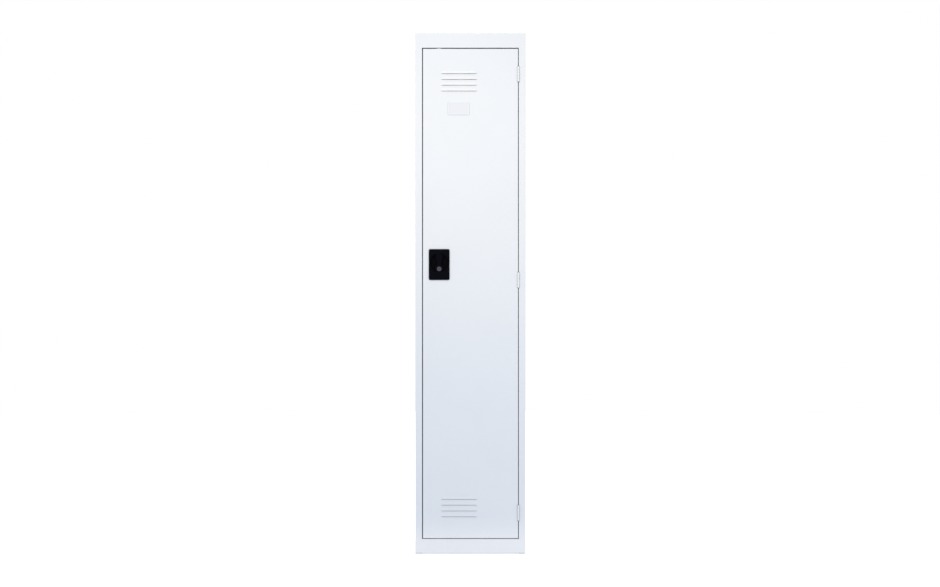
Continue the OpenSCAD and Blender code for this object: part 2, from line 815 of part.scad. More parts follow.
// Turn handle: a tapered grip with a round boss for the key, on a spindle
module handle_outline() {
  intersection() {
    circle(r = handle_r);
    union() {
      polygon([
        [-grip_top_w / 2, handle_r + cut], [grip_top_w / 2, handle_r + cut],
        [grip_waist_w / 2, grip_waist_z], [grip_waist_w / 2, grip_waist_z - grip_neck],
        [-grip_waist_w / 2, grip_waist_z - grip_neck], [-grip_waist_w / 2, grip_waist_z]
      ]);
      translate([0, -key_drop]) circle(r = key_boss_r);
    }
  }
}
module turn_handle() {
  color(moulded_black) difference() {
    union() {
      at_lock(handle_front, handle_back) handle_outline();
      peg(lock_x, lock_z, spindle_r, handle_back - cut, cam_front);
      at_lock(cam_front - cut, cam_back) square(2 * square_c, center = true);
    }
    peg(lock_x, lock_z - key_drop, barrel_body_r + run_gap, handle_front - cut, plug_back + seat_gap);
    at_lock(plug_back + seat_gap, handle_back + cut) {
      translate([-bolt_wide - move_gap, -bolt_step - bolt_travel - move_gap])
        square([2 * (bolt_wide + move_gap), bolt_step + bolt_travel + 2 * move_gap - bolt_top]);
      translate([-bolt_narrow - move_gap, -handle_r - cut])
        square([2 * (bolt_narrow + move_gap), handle_r - bolt_step]);
    }
    peg(lock_x, lock_z, screw_hole_r, screw_hole_front, cam_back + cut);
  }
}
module lock_barrel() {
  color(bright_metal) difference() {
    union() {
      peg(lock_x, lock_z - key_drop, bezel_r, handle_front - bezel_t, handle_front);
      peg(lock_x, lock_z - key_drop, barrel_body_r, handle_front, plug_back);
    }
    peg(lock_x, lock_z - key_drop, plug_bore_r, handle_front - bezel_t - cut, plug_back + cut);
  }
}
module key_plug() {
  face = handle_front - bezel_t;
  color(bright_metal) difference() {
    union() {
      peg(lock_x, lock_z - key_drop, plug_bore_r - run_gap, face, plug_back);
      peg(lock_x + throw_c, lock_z - key_drop + throw_c, throw_r, plug_back - cut, bolt_back - cut);
    }
    translate([lock_x, 0, lock_z - key_drop]) behind(front_y + face - cut, front_y + face + key_slot_d)
      square([key_slot_w, key_slot_h], center = true);
  }
}
module handle_bolt() {
  color(zinc_plate) at_lock(bolt_front, bolt_back) difference() {
    union() {
      translate([-bolt_wide, -bolt_step]) square([2 * bolt_wide, bolt_step - bolt_top]);
      translate([-bolt_narrow, -bolt_tip]) square([2 * bolt_narrow, bolt_tip - bolt_step + cut]);
    }
    translate([throw_c - throw_r - move_gap, throw_c - key_drop - throw_r - move_gap])
      square([2 * (throw_r + move_gap) + throw_play, 2 * (throw_r + move_gap)]);
  }
}

// Cam on the back of the spindle: latch tongue and two crank pins for the rods
module lock_cam() {
  color(zinc_plate) {
    at_lock(cam_front, cam_back) difference() {
      union() {
        circle(r = cam_r);
        translate([-tongue_w / 2, tongue_w / 2 - tongue_len])
          square([tongue_w, tongue_len - tongue_w / 2]);
        translate([0, tongue_w / 2 - tongue_len]) circle(r = tongue_w / 2);
      }
      square(2 * (square_c + run_gap), center = true);
    }
    for (c = [-crank_c, crank_c]) peg(lock_x + c, lock_z + c, crank_r, cam_back, foot_back + crank_over);
  }
}
module cam_screw() {
  color(zinc_plate) {
    peg(lock_x, lock_z, cam_screw_r, cam_screw_front, cam_back + cam_head_t / 2);
    peg(lock_x, lock_z, cam_head_r, cam_back, cam_back + cam_head_t);
  }
}

// Lock rod, drawn upwards from its foot at the cam; the tip is a distance above the handle axis
module lock_rod(tip) {
  slot_h = 2 * (crank_r + slot_gap);
  slot_in = crank_c - crank_r - slot_end_gap;
  slot_out = crank_c * sqrt(2) + crank_r + slot_end_gap;
  difference() {
    union() {
      behind(foot_front, foot_back) {
        translate([-foot_out, -foot_end]) square([foot_out - foot_in, foot_end + foot_top]);
        translate([-foot_out, foot_neck]) square([foot_out + rod_w / 2, foot_top - foot_neck]);
      }
      across(-rod_w / 2, rod_w / 2) polygon([
        [foot_front, foot_neck], [foot_back, foot_neck],
        [foot_back, joggle_start + joggle_lag], [rod_back, joggle_start + joggle_run + joggle_lag],
        [rod_back, tip], [rod_front, tip],
        [rod_front, joggle_start + joggle_run], [foot_front, joggle_start]
      ]);
    }
    behind(foot_front - cut, foot_back + cut)
      translate([-slot_out, -crank_c - slot_h / 2]) square([slot_out - slot_in, slot_h]);
  }
}
module upper_lock_rod() {
  color(zinc_plate) translate([lock_x, front_y, lock_z]) lock_rod(tip_top - lock_z);
}
module lower_lock_rod() {
  color(zinc_plate) translate([lock_x, front_y, lock_z]) mirror([1, 0, 0]) mirror([0, 0, 1])
    lock_rod(lock_z - tip_low);
}

left_side_panel();
right_side_panel();
top_panel();
head_stop();
kick_plate();
base_panel();
back_panel();
hat_shelf();
coat_rail();
rail_sockets();
rail_screws();
shelf_screws();
panel_screws();
back_screws();
door_buffers();
frame_hinge_leaf_top();
frame_hinge_leaf_middle();
frame_hinge_leaf_bottom();
hinge_pin_top();
hinge_pin_middle();
hinge_pin_bottom();
door_panel();
door_stiffener();
card_holder();
name_card();
door_hinge_leaf_top();
door_hinge_leaf_middle();
door_hinge_leaf_bottom();
lock_housing();
lock_retainers();
retainer_screws();
rod_guides();
turn_handle();
lock_barrel();
lock_cam();
cam_screw();
key_plug();
handle_bolt();
upper_lock_rod();
lower_lock_rod();
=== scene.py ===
"""The looks of the locker cabinet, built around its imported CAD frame. Metres; the front faces -Y."""

import json
import math

import bmesh
import bpy
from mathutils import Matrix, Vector

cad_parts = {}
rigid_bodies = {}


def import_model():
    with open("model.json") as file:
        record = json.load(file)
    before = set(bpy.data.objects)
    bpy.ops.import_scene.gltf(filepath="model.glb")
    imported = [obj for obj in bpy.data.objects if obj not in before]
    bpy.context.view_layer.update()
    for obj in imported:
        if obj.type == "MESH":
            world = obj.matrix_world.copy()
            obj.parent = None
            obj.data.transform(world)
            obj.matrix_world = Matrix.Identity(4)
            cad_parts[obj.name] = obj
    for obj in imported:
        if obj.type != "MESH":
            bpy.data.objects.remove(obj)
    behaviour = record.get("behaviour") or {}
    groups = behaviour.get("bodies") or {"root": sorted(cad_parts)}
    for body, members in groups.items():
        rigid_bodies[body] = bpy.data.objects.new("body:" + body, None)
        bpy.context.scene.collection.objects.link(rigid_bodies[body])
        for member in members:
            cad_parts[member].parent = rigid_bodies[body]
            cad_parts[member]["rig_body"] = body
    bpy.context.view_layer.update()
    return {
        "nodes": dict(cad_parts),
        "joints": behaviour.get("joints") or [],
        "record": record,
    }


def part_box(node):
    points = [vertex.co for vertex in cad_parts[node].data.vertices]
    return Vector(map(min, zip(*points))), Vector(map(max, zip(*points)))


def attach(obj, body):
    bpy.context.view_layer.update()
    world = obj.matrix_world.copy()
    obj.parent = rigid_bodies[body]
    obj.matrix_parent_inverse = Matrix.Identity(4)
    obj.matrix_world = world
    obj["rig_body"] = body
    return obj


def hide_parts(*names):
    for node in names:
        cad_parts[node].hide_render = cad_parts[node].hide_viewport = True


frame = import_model()
MM = 0.001

# Sheet metal: thickness, fold radii on the outer and inner side, and the steps in a fold
SHEET = 0.8 * MM
FOLD_OUT = 1.6 * MM
FOLD_IN = 0.8 * MM
FOLD_STEPS = 6
FLANGE = 18 * MM

# Faces of the cabinet, from the frame
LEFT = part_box("left_side_panel")
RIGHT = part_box("right_side_panel")
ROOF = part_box("top_panel")
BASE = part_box("base_panel")
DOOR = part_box("door_panel")
HALF_W = RIGHT[1].x
INNER_X = HALF_W - SHEET
FRONT = LEFT[0].y
BACK = LEFT[1].y
TOP = LEFT[1].z
OPEN_X = RIGHT[0].x
STOP_X = LEFT[1].x
STOP_Y = FRONT + 20 * MM
STOP_FACE = STOP_Y - SHEET
RETURN_H = 15 * MM
FLOOR_Z = BASE[1].z
GAP_TOP = 3 * MM
GAP_LOW = 2 * MM
OPEN_TOP = DOOR[1].z + GAP_TOP
OPEN_LOW = DOOR[0].z - GAP_LOW
DOOR_BACK = DOOR[1].y
LOUVRE_OUT = FRONT - DOOR[0].y

JOINTS = {j["name"]: j for j in frame["joints"]}
LOCK_X, _, LOCK_Z = JOINTS["handle_turn"]["pos_m"]
KEY_Z = JOINTS["key_turn"]["pos_m"][2]


# -------- meshes
def bend(points, radii=(FOLD_OUT,) * 3):
    """A line through points whose inner corners are arcs with these radii, or up to three outer folds."""
    path = [Vector(points[0])]
    for a, b, c, radius in zip(points, points[1:], points[2:], radii):
        corner = Vector(b)
        before = (Vector(a) - corner).normalized()
        after = (Vector(c) - corner).normalized()
        half = before.angle(after) / 2
        centre = corner + (before + after).normalized() * (radius / math.sin(half))
        reach = radius / math.tan(half)
        start = corner + before * reach - centre
        end = corner + after * reach - centre
        for i in range(FOLD_STEPS + 1):
            path.append(centre + start.slerp(end, i / FOLD_STEPS).normalized() * radius)
    return path + [Vector(points[-1])]


def circle(x, y, radius, count=48):
    """The points of a circle, anticlockwise."""
    turn = 2 * math.pi / count
    return [(x + radius * math.cos(turn * i), y + radius * math.sin(turn * i)) for i in range(count)]


def round_box(x0, x1, z0, z1, radius, steps=6):
    """A rectangle with round corners, anticlockwise from its lower right corner."""
    loop = []
    corners = [(x1, z0, 1, -1), (x1, z1, 1, 1), (x0, z1, -1, 1), (x0, z0, -1, -1)]
    for number, (x, z, sx, sz) in enumerate(corners):
        for i in range(steps + 1):
            angle = math.pi / 2 * (number - 1 + i / steps)
            loop.append((x + radius * (math.cos(angle) - sx), z + radius * (math.sin(angle) - sz)))
    return loop


def quarter(radius, steps=FOLD_STEPS):
    """The steps of a quarter-round edge, as how far in and how deep each lies, from face to side."""
    turns = [math.pi / 2 * i / steps for i in range(steps + 1)]
    return [(radius * (1 - math.sin(a)), radius * (1 - math.cos(a))) for a in turns]


def across(p, x):
    """Places the (y, z) points of a profile that runs from side to side."""
    return (x, p[0], p[1])


def strip(bm, path, levels, place):
    """Quads between copies of a line, one copy at each level."""
    rows = [[bm.verts.new(place(p, level)) for p in path] for level in levels]
    for low, high in zip(rows, rows[1:]):
        for i in range(len(path) - 1):
            bm.faces.new((low[i], low[i + 1], high[i + 1], high[i]))


def fill(bm, loops, place):
    """A flat face inside the first loop, with the other loops as holes."""
    edges = []
    for loop in loops:
        verts = [bm.verts.new(place(p)) for p in loop]
        edges += [bm.edges.new(pair) for pair in zip(verts, verts[1:] + verts[:1])]
    bmesh.ops.triangle_fill(bm, edges=edges, use_beauty=True)


def loft(bm, rings, cap_first=True, cap_last=True):
    """A skin over rings that all have the same number of points."""
    rows = [[bm.verts.new(p) for p in ring] for ring in rings]
    count = len(rows[0])
    for low, high in zip(rows, rows[1:]):
        for i in range(count):
            j = (i + 1) % count
            bm.faces.new((low[i], low[j], high[j], high[i]))
    if cap_first:
        bm.faces.new(rows[0])
    if cap_last:
        bm.faces.new(rows[-1])


def turned(bm, profile, place, count=48, caps=True):
    """A turned shape: profile is a list of (radius, distance along the axis)."""
    rings = [[place(p, along) for p in circle(0, 0, max(radius, 1e-6), count)] for radius, along in profile]
    loft(bm, rings, caps, caps)


def weld(bm):
    """Joins the points that lie on each other."""
    bmesh.ops.remove_doubles(bm, verts=bm.verts, dist=2e-6)


def face_out(bm, facing):
    """Turns every face the same way, so that most of their area looks along facing."""
    weld(bm)
    bmesh.ops.recalc_face_normals(bm, faces=bm.faces)
    total = sum((f.normal * f.calc_area() for f in bm.faces), Vector())
    if total.dot(Vector(facing)) < 0:
        bmesh.ops.reverse_faces(bm, faces=bm.faces)


def box_cutter(boxes):
    """One object of boxes, each given as its ends along x, y and z."""
    bm = bmesh.new()
    for (x0, x1), (y0, y1), (z0, z1) in boxes:
        loft(bm, [[(x0, y0, z), (x1, y0, z), (x1, y1, z), (x0, y1, z)] for z in (z0, z1)])
    bmesh.ops.recalc_face_normals(bm, faces=bm.faces)
    return new_object("cutter", bm)


def new_object(name, bm):
    mesh = bpy.data.meshes.new(name)
    bm.to_mesh(mesh)
    bm.free()
    piece = bpy.data.objects.new(name, mesh)
    bpy.context.scene.collection.objects.link(piece)
    return piece


def apply_modifiers(piece):
    """Puts the result of the modifiers into the mesh."""
    graph = bpy.context.evaluated_depsgraph_get()
    mesh = bpy.data.meshes.new_from_object(piece.evaluated_get(graph))
    piece.modifiers.clear()
    piece.data = mesh


def smooth(piece, angle=32):
    """Smooth shading that keeps the edges sharper than angle, with flat faces kept flat."""
    bm = bmesh.new()
    bm.from_mesh(piece.data)
    for face in bm.faces:
        face.smooth = True
    for edge in bm.edges:
        edge.smooth = len(edge.link_faces) == 2 and edge.calc_face_angle() < math.radians(angle)
    bm.to_mesh(piece.data)
    bm.free()
    piece.modifiers.new("normals", "WEIGHTED_NORMAL").keep_sharp = True


def make(name, bm, node, slot, facing=None, thickness=SHEET, offset=-1, cuts=(), bevel=0, angle=32, also=None,
         finish=None):
    """Finishes a mesh as the piece that stands for a CAD node. With facing it is a skin that gets a
    thickness; also then adds closed shapes to it."""
    if facing is None:
        weld(bm)
        bmesh.ops.recalc_face_normals(bm, faces=bm.faces)
    else:
        face_out(bm, facing)
    piece = new_object(name, bm)
    if facing is not None:
        solid = piece.modifiers.new("solid", "SOLIDIFY")
        solid.thickness = thickness
        solid.offset = offset
    cutter = box_cutter(cuts) if cuts else None
    if cutter:
        cut = piece.modifiers.new("cut", "BOOLEAN")
        cut.object = cutter
        cut.solver = "EXACT"
    if bevel:
        add_bevel(piece, bevel)
    if piece.modifiers:
        apply_modifiers(piece)
    if cutter:
        bpy.data.objects.remove(cutter)
    if also:
        whole = bmesh.new()
        whole.from_mesh(piece.data)
        also(whole)
        bmesh.ops.recalc_face_normals(whole, faces=whole.faces)
        whole.to_mesh(piece.data)
        whole.free()
    smooth(piece, angle)
    piece.data.materials.clear()
    piece.data.materials.append(MATERIALS[finish or slot])
    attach(piece, frame["nodes"][node]["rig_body"])
    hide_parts(node)
    return piece


def add_bevel(piece, width):
    """Rounds the sharp edges."""
    edge = piece.modifiers.new("edges", "BEVEL")
    edge.width = width
    edge.segments = 2
    edge.limit_method = "ANGLE"
    edge.angle_limit = math.radians(35)
    edge.use_clamp_overlap = True


def keep(node, slot, width, finish=None):
    """A CAD node that stays, with softened edges and a procedural material."""
    piece = frame["nodes"][node]
    piece.data.materials.clear()
    piece.data.materials.append(MATERIALS[finish or slot])
    piece.modifiers.new("join", "WELD").merge_threshold = 0.01 * MM
    add_bevel(piece, width)
    piece.modifiers.new("normals", "WEIGHTED_NORMAL").keep_sharp = True
    for polygon in piece.data.polygons:
        polygon.use_smooth = True


# -------- materials
def put(node, **values):
    """Sets a node's inputs by name, with _ for a space."""
    for name, value in values.items():
        node.inputs[name.replace("_", " ")].default_value = value
    return node


class Shader:
    """A node material with short calls for the textures that the finishes share."""

    def __init__(self, name, color, roughness, metallic=0.0, specular=0.5):
        self.material = bpy.data.materials.new(name)
        self.material.use_nodes = True
        self.material.diffuse_color = (*color, 1)
        self.tree = self.material.node_tree
        self.surface = put(self.tree.nodes["Principled BSDF"], Base_Color=(*color, 1), Roughness=roughness,
                           Metallic=metallic, Specular_IOR_Level=specular)
        self.place = self.add("ShaderNodeTexCoord").outputs["Object"]
        self.bump = None

    def add(self, kind, **settings):
        node = self.tree.nodes.new(kind)
        for key, value in settings.items():
            setattr(node, key, value)
        return node

    def link(self, source, target):
        self.tree.links.new(source, target)

    def stretched(self, scale):
        node = put(self.add("ShaderNodeMapping"), Scale=scale)
        self.link(self.place, node.inputs["Vector"])
        return node.outputs["Vector"]

    def noise(self, scale, detail=2.0, rough=0.5, place=None):
        node = put(self.add("ShaderNodeTexNoise"), Scale=scale, Detail=detail, Roughness=rough)
        self.link(place or self.place, node.inputs["Vector"])
        return node.outputs["Fac"]

    def cells(self, scale):
        node = put(self.add("ShaderNodeTexVoronoi"), Scale=scale)
        self.link(self.place, node.inputs["Vector"])
        return node.outputs["Distance"]

    def ranged(self, value, low, high, from_low=0.3, from_high=0.7):
        node = self.add("ShaderNodeMapRange")
        put(node, From_Min=from_low, From_Max=from_high, To_Min=low, To_Max=high)
        self.link(value, node.inputs["Value"])
        return node.outputs["Result"]

    def tint(self, value, dark, light, from_low=0.3, from_high=0.7):
        node = self.add("ShaderNodeValToRGB")
        for stop, place, color in zip(node.color_ramp.elements, (from_low, from_high), (dark, light)):
            stop.position, stop.color = place, (*color, 1)
        self.link(value, node.inputs["Fac"])
        return node.outputs["Color"]

    def set_color(self, socket):
        self.link(socket, self.surface.inputs["Base Color"])

    def crevices(self, color, reach, left, from_low=0.05, from_high=0.6):
        """Painted shade: the color, darkened by ambient occlusion where the surface lies deep in a gap or
        recess; left is what remains of it there.
        """
        node = put(self.add("ShaderNodeAmbientOcclusion", samples=6), Distance=reach)
        open_share = self.ranged(node.outputs["AO"], left, 1, from_low, from_high)
        mix = self.add("ShaderNodeVectorMath", operation="MULTIPLY")
        self.link(color, mix.inputs[0])
        self.link(open_share, mix.inputs[1])
        return mix.outputs["Vector"]

    def set_roughness(self, value, low, high):
        self.link(self.ranged(value, low, high), self.surface.inputs["Roughness"])

    def raise_by(self, value, distance, strength=1.0):
        """Adds a bump of this height in metres on top of the ones before it."""
        node = put(self.add("ShaderNodeBump"), Distance=distance, Strength=strength)
        self.link(value, node.inputs["Height"])
        if self.bump:
            self.link(self.bump, node.inputs["Normal"])
        self.bump = node.outputs["Normal"]
        self.link(self.bump, self.surface.inputs["Normal"])


def shade_of(color, factor):
    return tuple(c * factor for c in color)


def powder_coat(name, color, left=0.14):
    """Satin powder coat: orange peel about a millimetre across, finer grain, faint clouding, and painted
    shade that darkens its color deep in gaps.
    left is how much of its color the painted shade leaves deep in a gap."""
    shader = Shader(name, color, 0.4)
    clouds = shader.tint(shader.noise(5, detail=3), shade_of(color, 0.985), color)
    # painted shade: the coat's color darkens within 7 mm of facing surfaces, in gaps and recesses
    shader.set_color(shader.crevices(clouds, 7 * MM, left, 0.2, 0.85))
    shader.set_roughness(shader.noise(160, detail=3), 0.36, 0.46)
    shader.raise_by(shader.noise(850, detail=1.5), 0.035 * MM, 0.35)
    shader.raise_by(shader.noise(3800, detail=1), 0.006 * MM, 0.4)
    return shader.material


def moulded_plastic(name, color):
    """Black moulded plastic with a fine spark-eroded grain, slightly greyer high spots, and painted shade
    that darkens its color in recesses.
    """
    shader = Shader(name, color, 0.42, specular=0.05)
    grain = shader.noise(2600, detail=2)
    tone = shader.tint(grain, shade_of(color, 0.8), shade_of(color, 1.25))
    # painted shade: the color darkens within 24 mm of facing surfaces, deepest in the handle's dish
    shader.set_color(shader.crevices(tone, 24 * MM, 0.05, 0.35, 0.95))
    shader.set_roughness(shader.noise(240, detail=4), 0.36, 0.5)
    shader.raise_by(grain, 0.02 * MM, 0.5)
    shader.raise_by(shader.cells(1400), 0.012 * MM, 0.35)
    return shader.material


def zinc_plated(name, color, low=0.26, high=0.44):
    """Bright zinc on rolled steel: fine rolling lines, spangle and a warm and cold sheen."""
    shader = Shader(name, color, low, metallic=1.0)
    film = shader.noise(38, detail=3)
    warm = (color[0], color[1] * 0.97, color[2] * 0.88)
    shader.set_color(shader.tint(film, warm, color))
    lines = shader.noise(90, detail=4, place=shader.stretched((38, 38, 1)))
    shader.set_roughness(lines, low, high)
    shader.raise_by(lines, 0.006 * MM, 0.5)
    shader.raise_by(shader.cells(420), 0.005 * MM, 0.3)
    return shader.material


def plated_metal(name, color, low, high):
    """Nickel or chrome plate with polishing marks, slight clouding, and painted shade that darkens its color
    in crevices.
    """
    shader = Shader(name, color, low, metallic=1.0)
    film = shader.tint(shader.noise(130, detail=3), shade_of(color, 0.9), color)
    # painted shade: the color darkens within 3 mm of facing surfaces
    shader.set_color(shader.crevices(film, 3 * MM, 0.25, 0.2, 0.9))
    marks = shader.noise(700, detail=4, place=shader.stretched((1, 6, 1)))
    shader.set_roughness(marks, low, high)
    shader.raise_by(marks, 0.003 * MM, 0.4)
    return shader.material


def rubber(name, color):
    """Matt rubber with a fine open grain."""
    shader = Shader(name, color, 0.8, specular=0.3)
    shader.set_color(shader.tint(shader.noise(900), shade_of(color, 0.8), shade_of(color, 1.2)))
    shader.set_roughness(shader.noise(500), 0.7, 0.9)
    shader.raise_by(shader.noise(1600, detail=3), 0.03 * MM, 0.6)
    return shader.material


def paper(name, color):
    """Card with fine fibres."""
    shader = Shader(name, color, 0.85, specular=0.3)
    fibre = shader.noise(1800, detail=5, rough=0.7)
    shader.set_color(shader.tint(fibre, shade_of(color, 0.96), color))
    shader.set_roughness(fibre, 0.8, 0.92)
    shader.raise_by(fibre, 0.02 * MM, 0.5)
    return shader.material


MATERIALS = {
    # one white coat in three copies: the main one with strong painted shade in gaps, one with light painted
    # shade, and a hinge copy painted lighter, with light painted shade
    "powder_coat": powder_coat("powder_coat_white", (0.82, 0.845, 0.875)),
    "shaded_coat": powder_coat("powder_coat_white_even", (0.82, 0.845, 0.875), 0.85),
    "hinge_coat": powder_coat("hinge_coat_white", (0.87, 0.89, 0.915), 0.9),
    "black_plastic": moulded_plastic("black_moulded_plastic", (0.0009, 0.0009, 0.0038)),
    "zinc_plate": zinc_plated("zinc_plated_steel", (0.62, 0.63, 0.65)),
    "rod_zinc": zinc_plated("bright_zinc_rod", (0.86, 0.87, 0.88), 0.08, 0.16),
    # painted reflection: the plate's base color is set very dark, standing in for the dark surroundings that
    # bright plate mirrors
    "lock_metal": plated_metal("nickel_plate", (0.13, 0.13, 0.14), 0.24, 0.36),
    "rail_chrome": plated_metal("chrome_plate", (0.72, 0.73, 0.75), 0.07, 0.14),
    "buffer_rubber": rubber("grey_rubber", (0.05, 0.05, 0.055)),
    "card": paper("blank_card", (0.80, 0.82, 0.865)),
}


# -------- cabinet
def on_side(s):
    """Places (y, z) points on the outer face of a side."""
    return lambda p: (s * HALF_W, p[0], p[1])


def plan(s):
    """Places (x, y) points of a profile that is drawn for the right side, at height z."""
    return lambda p, z: (s * p[0], p[1], z)


RIM_Z = TOP - FOLD_OUT
SCREWS_Y = (-150 * MM, 0, 150 * MM)
ROOF_SCREW_Z = TOP - 11 * MM
FLOOR_SCREW_Z = FLOOR_Z - 10 * MM
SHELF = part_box("hat_shelf")
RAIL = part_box("coat_rail")
RAIL_Z = (RAIL[0].z + RAIL[1].z) / 2
SHELF_SCREWS_Y = (-130 * MM, 130 * MM)
SHELF_SCREW_Z = SHELF[1].z - 8 * MM
RAIL_SCREWS_Y = (-17 * MM, 17 * MM)
BACK_SCREWS_Z = [z * MM for z in (100, 500, 900, 1300, 1700)]
BACK_SCREW_X = HALF_W - 10 * MM
SCREW_HOLE = 2.5 * MM
SCREW_SHORT = 0.1 * MM
RAIL_HOLE = 1.85 * MM


def mount(name):
    """A mount of the record, by name."""
    return next(m for m in frame["record"]["mounts"] if m["name"] == name)


def side_holes():
    """(y, z, radius) of every hole through a side."""
    gang = mount("right_ganging_holes")["dims"]
    half_y = gang["spacing_x_mm"] * MM / 2
    half_z = gang["spacing_y_mm"] * MM / 2
    holes = [(y, TOP / 2 + z, gang["hole_r_mm"] * MM) for y in (-half_y, half_y) for z in (-half_z, half_z)]
    holes += [(y, z, SCREW_HOLE) for y in SCREWS_Y for z in (ROOF_SCREW_Z, FLOOR_SCREW_Z)]
    holes += [(y, SHELF_SCREW_Z, SCREW_HOLE) for y in SHELF_SCREWS_Y]
    return holes + [(y, RAIL_Z, RAIL_HOLE) for y in RAIL_SCREWS_Y]


def side_panel(s, name, node, with_stop):
    """Side, upright, jamb, rear flange and foot flange in one folded sheet; s is -1 left and 1 right."""
    bm = bmesh.new()
    levels = [0, OPEN_LOW, OPEN_TOP, RIM_Z]
    front_edge = FRONT + FOLD_OUT
    back_edge = BACK - FOLD_OUT
    foot_y = (BACK - 20 * MM, FRONT + 20 * MM)
    foot_cut = [(foot_y[1], 0), (foot_y[1], FOLD_OUT), (foot_y[0], FOLD_OUT), (foot_y[0], 0)]
    flat = [(back_edge, z) for z in levels] + [(front_edge, z) for z in reversed(levels)] + foot_cut
    fill(bm, [flat] + [circle(y, z, r, 32) for y, z, r in side_holes()], on_side(s))

    foot = bend([(HALF_W, FOLD_OUT), (HALF_W, 0), (INNER_X - FLANGE, 0)])
    strip(bm, foot[1:], foot_y, lambda p, y: (s * p[0], y, p[1]))

    rear = bend([(HALF_W, back_edge), (HALF_W, BACK), (HALF_W - FLANGE, BACK)])[1:-1]
    strip(bm, rear, levels, plan(s))
    flange = [(HALF_W - FOLD_OUT, z) for z in levels] + [(HALF_W - FLANGE, z) for z in reversed(levels)]
    holes = [circle(BACK_SCREW_X, z, SCREW_HOLE, 32) for z in BACK_SCREWS_Z]
    fill(bm, [flange] + holes, lambda p: (s * p[0], BACK, p[1]))

    jamb_start = OPEN_X + FOLD_OUT
    stile = bend([(HALF_W, front_edge), (HALF_W, FRONT), (jamb_start, FRONT)])[1:]
    strip(bm, stile, levels, plan(s))
    for ends in (levels[:2], levels[2:]):
        strip(bm, [(jamb_start, FRONT), (OPEN_X, FRONT)], ends, plan(s))
    jamb = [(jamb_start, FRONT), (OPEN_X, FRONT)]
    jamb += [(OPEN_X, STOP_FACE), (-STOP_X, STOP_FACE)] if with_stop else [(OPEN_X, STOP_Y)]
    strip(bm, bend(jamb, (FOLD_OUT, FOLD_IN)), levels[1:3], plan(s))

    cuts = [] if with_stop else hinge_notches(OPEN_X - MM, HINGE_X + NOTCH)
    make(name, bm, node, "powder_coat", facing=(s, 0, 0), cuts=cuts)


HINGES = ("top", "middle", "bottom")
HINGE_X, HINGE_Y, _ = JOINTS["door_swing"]["pos_m"]
PIN_R = 1.75 * MM
BORE_R = 1.8 * MM
LEAF = 1.7 * MM
BARREL_R = BORE_R + LEAF
NOTCH = BARREL_R + 0.4 * MM
KNUCKLES = 5
KNUCKLE_GAP = 0.4 * MM


def hinge_notches(x0, x1):
    """Boxes around the three hinge barrels, between x0 and x1."""
    boxes = []
    for where in HINGES:
        low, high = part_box("hinge_pin_" + where)
        boxes.append(((x0, x1), (FRONT - MM, HINGE_Y + NOTCH), (low.z - 0.6 * MM, high.z + 0.6 * MM)))
    return boxes


def rod_slot(z, half_x=12 * MM, half_y=4 * MM):
    """The slot that a lock rod's tip goes through, in the frame or the door at height z."""
    x, y, half_z = LOCK_X, FRONT + 9.5 * MM, 3 * MM
    return ((x - half_x, x + half_x), (y - half_y, y + half_y), (z - half_z, z + half_z))


def roof_ring(inset, z):
    """A loop round the roof, with points where the rails and flanges meet it."""
    radius = max(FOLD_OUT - inset, 0)
    x0, x1 = -HALF_W + inset, HALF_W - inset
    y0, y1 = FRONT + inset, BACK - inset
    loop = [(x, y, z) for x, y in round_box(x0, x1, y0, y1, radius)]
    per_corner = len(loop) // 4
    front = [(-OPEN_X, y0, z), (OPEN_X, y0, z)]
    rear_x = HALF_W - FLANGE
    rear = [(rear_x, y1, z), (-rear_x, y1, z)]
    return front + loop[:2 * per_corner] + rear + loop[2 * per_corner:]


def top_panel():
    """Roof with a round rim, front rail and lintel, and the flanges that the sides are screwed to."""
    bm = bmesh.new()
    loft(bm, [roof_ring(depth, TOP - inset) for inset, depth in quarter(FOLD_OUT)], cap_first=False)
    rail = bend([(FRONT, RIM_Z), (FRONT, OPEN_TOP), (STOP_FACE, OPEN_TOP), (STOP_FACE, OPEN_TOP + RETURN_H)])
    strip(bm, rail, [-OPEN_X, OPEN_X], across)
    rear_x = HALF_W - FLANGE
    strip(bm, [(BACK, RIM_Z), (BACK, TOP - FLANGE)], [-rear_x, rear_x], across)

    def side_flanges(whole):
        for x in (-INNER_X, INNER_X - SHEET):
            section = [(x, TOP - FLANGE), (x + SHEET, TOP - FLANGE), (x + SHEET, TOP - SHEET),
                       (x, TOP - SHEET)]
            loft(whole, [[(u, y, z) for u, z in section] for y in (FRONT + 20 * MM, BACK - 20 * MM)])

    make("top_panel_sheet", bm, "top_panel", "powder_coat", facing=(0, 0, 1), cuts=[rod_slot(OPEN_TOP)],
         also=side_flanges)


def head_stop():
    """The strip behind the lintel, with its lower edge folded flat."""
    low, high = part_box("head_stop")
    bm = bmesh.new()
    loft(bm, [[(x, y, z) for y, z in hem(low, high)] for x in (low.x, high.x)])
    make("head_stop_strip", bm, "head_stop", "powder_coat", angle=40)


def hem(low, high):
    """Section of the strip: rounded at its lower edge."""
    radius = (high.y - low.y) / 2
    y, z = low.y + radius, low.z + radius
    turns = [math.pi * i / 6 for i in range(7)]
    round_edge = [(y + radius * math.cos(a), z - radius * math.sin(a)) for a in turns]
    return [(high.y, high.z)] + round_edge + [(low.y, high.z)]


def kick_plate():
    """Foot, kick plate, threshold and return in one folded sheet."""
    bm = bmesh.new()
    kick = bend([(FRONT + FLANGE, 0), (FRONT, 0), (FRONT, OPEN_LOW), (STOP_FACE, OPEN_LOW),
                 (STOP_FACE, OPEN_LOW - RETURN_H)])
    strip(bm, kick, [-OPEN_X, OPEN_X], across)
    make("kick_plate_sheet", bm, "kick_plate", "powder_coat", facing=(0, -1, 0.5), cuts=[rod_slot(OPEN_LOW)],
         finish="shaded_coat")


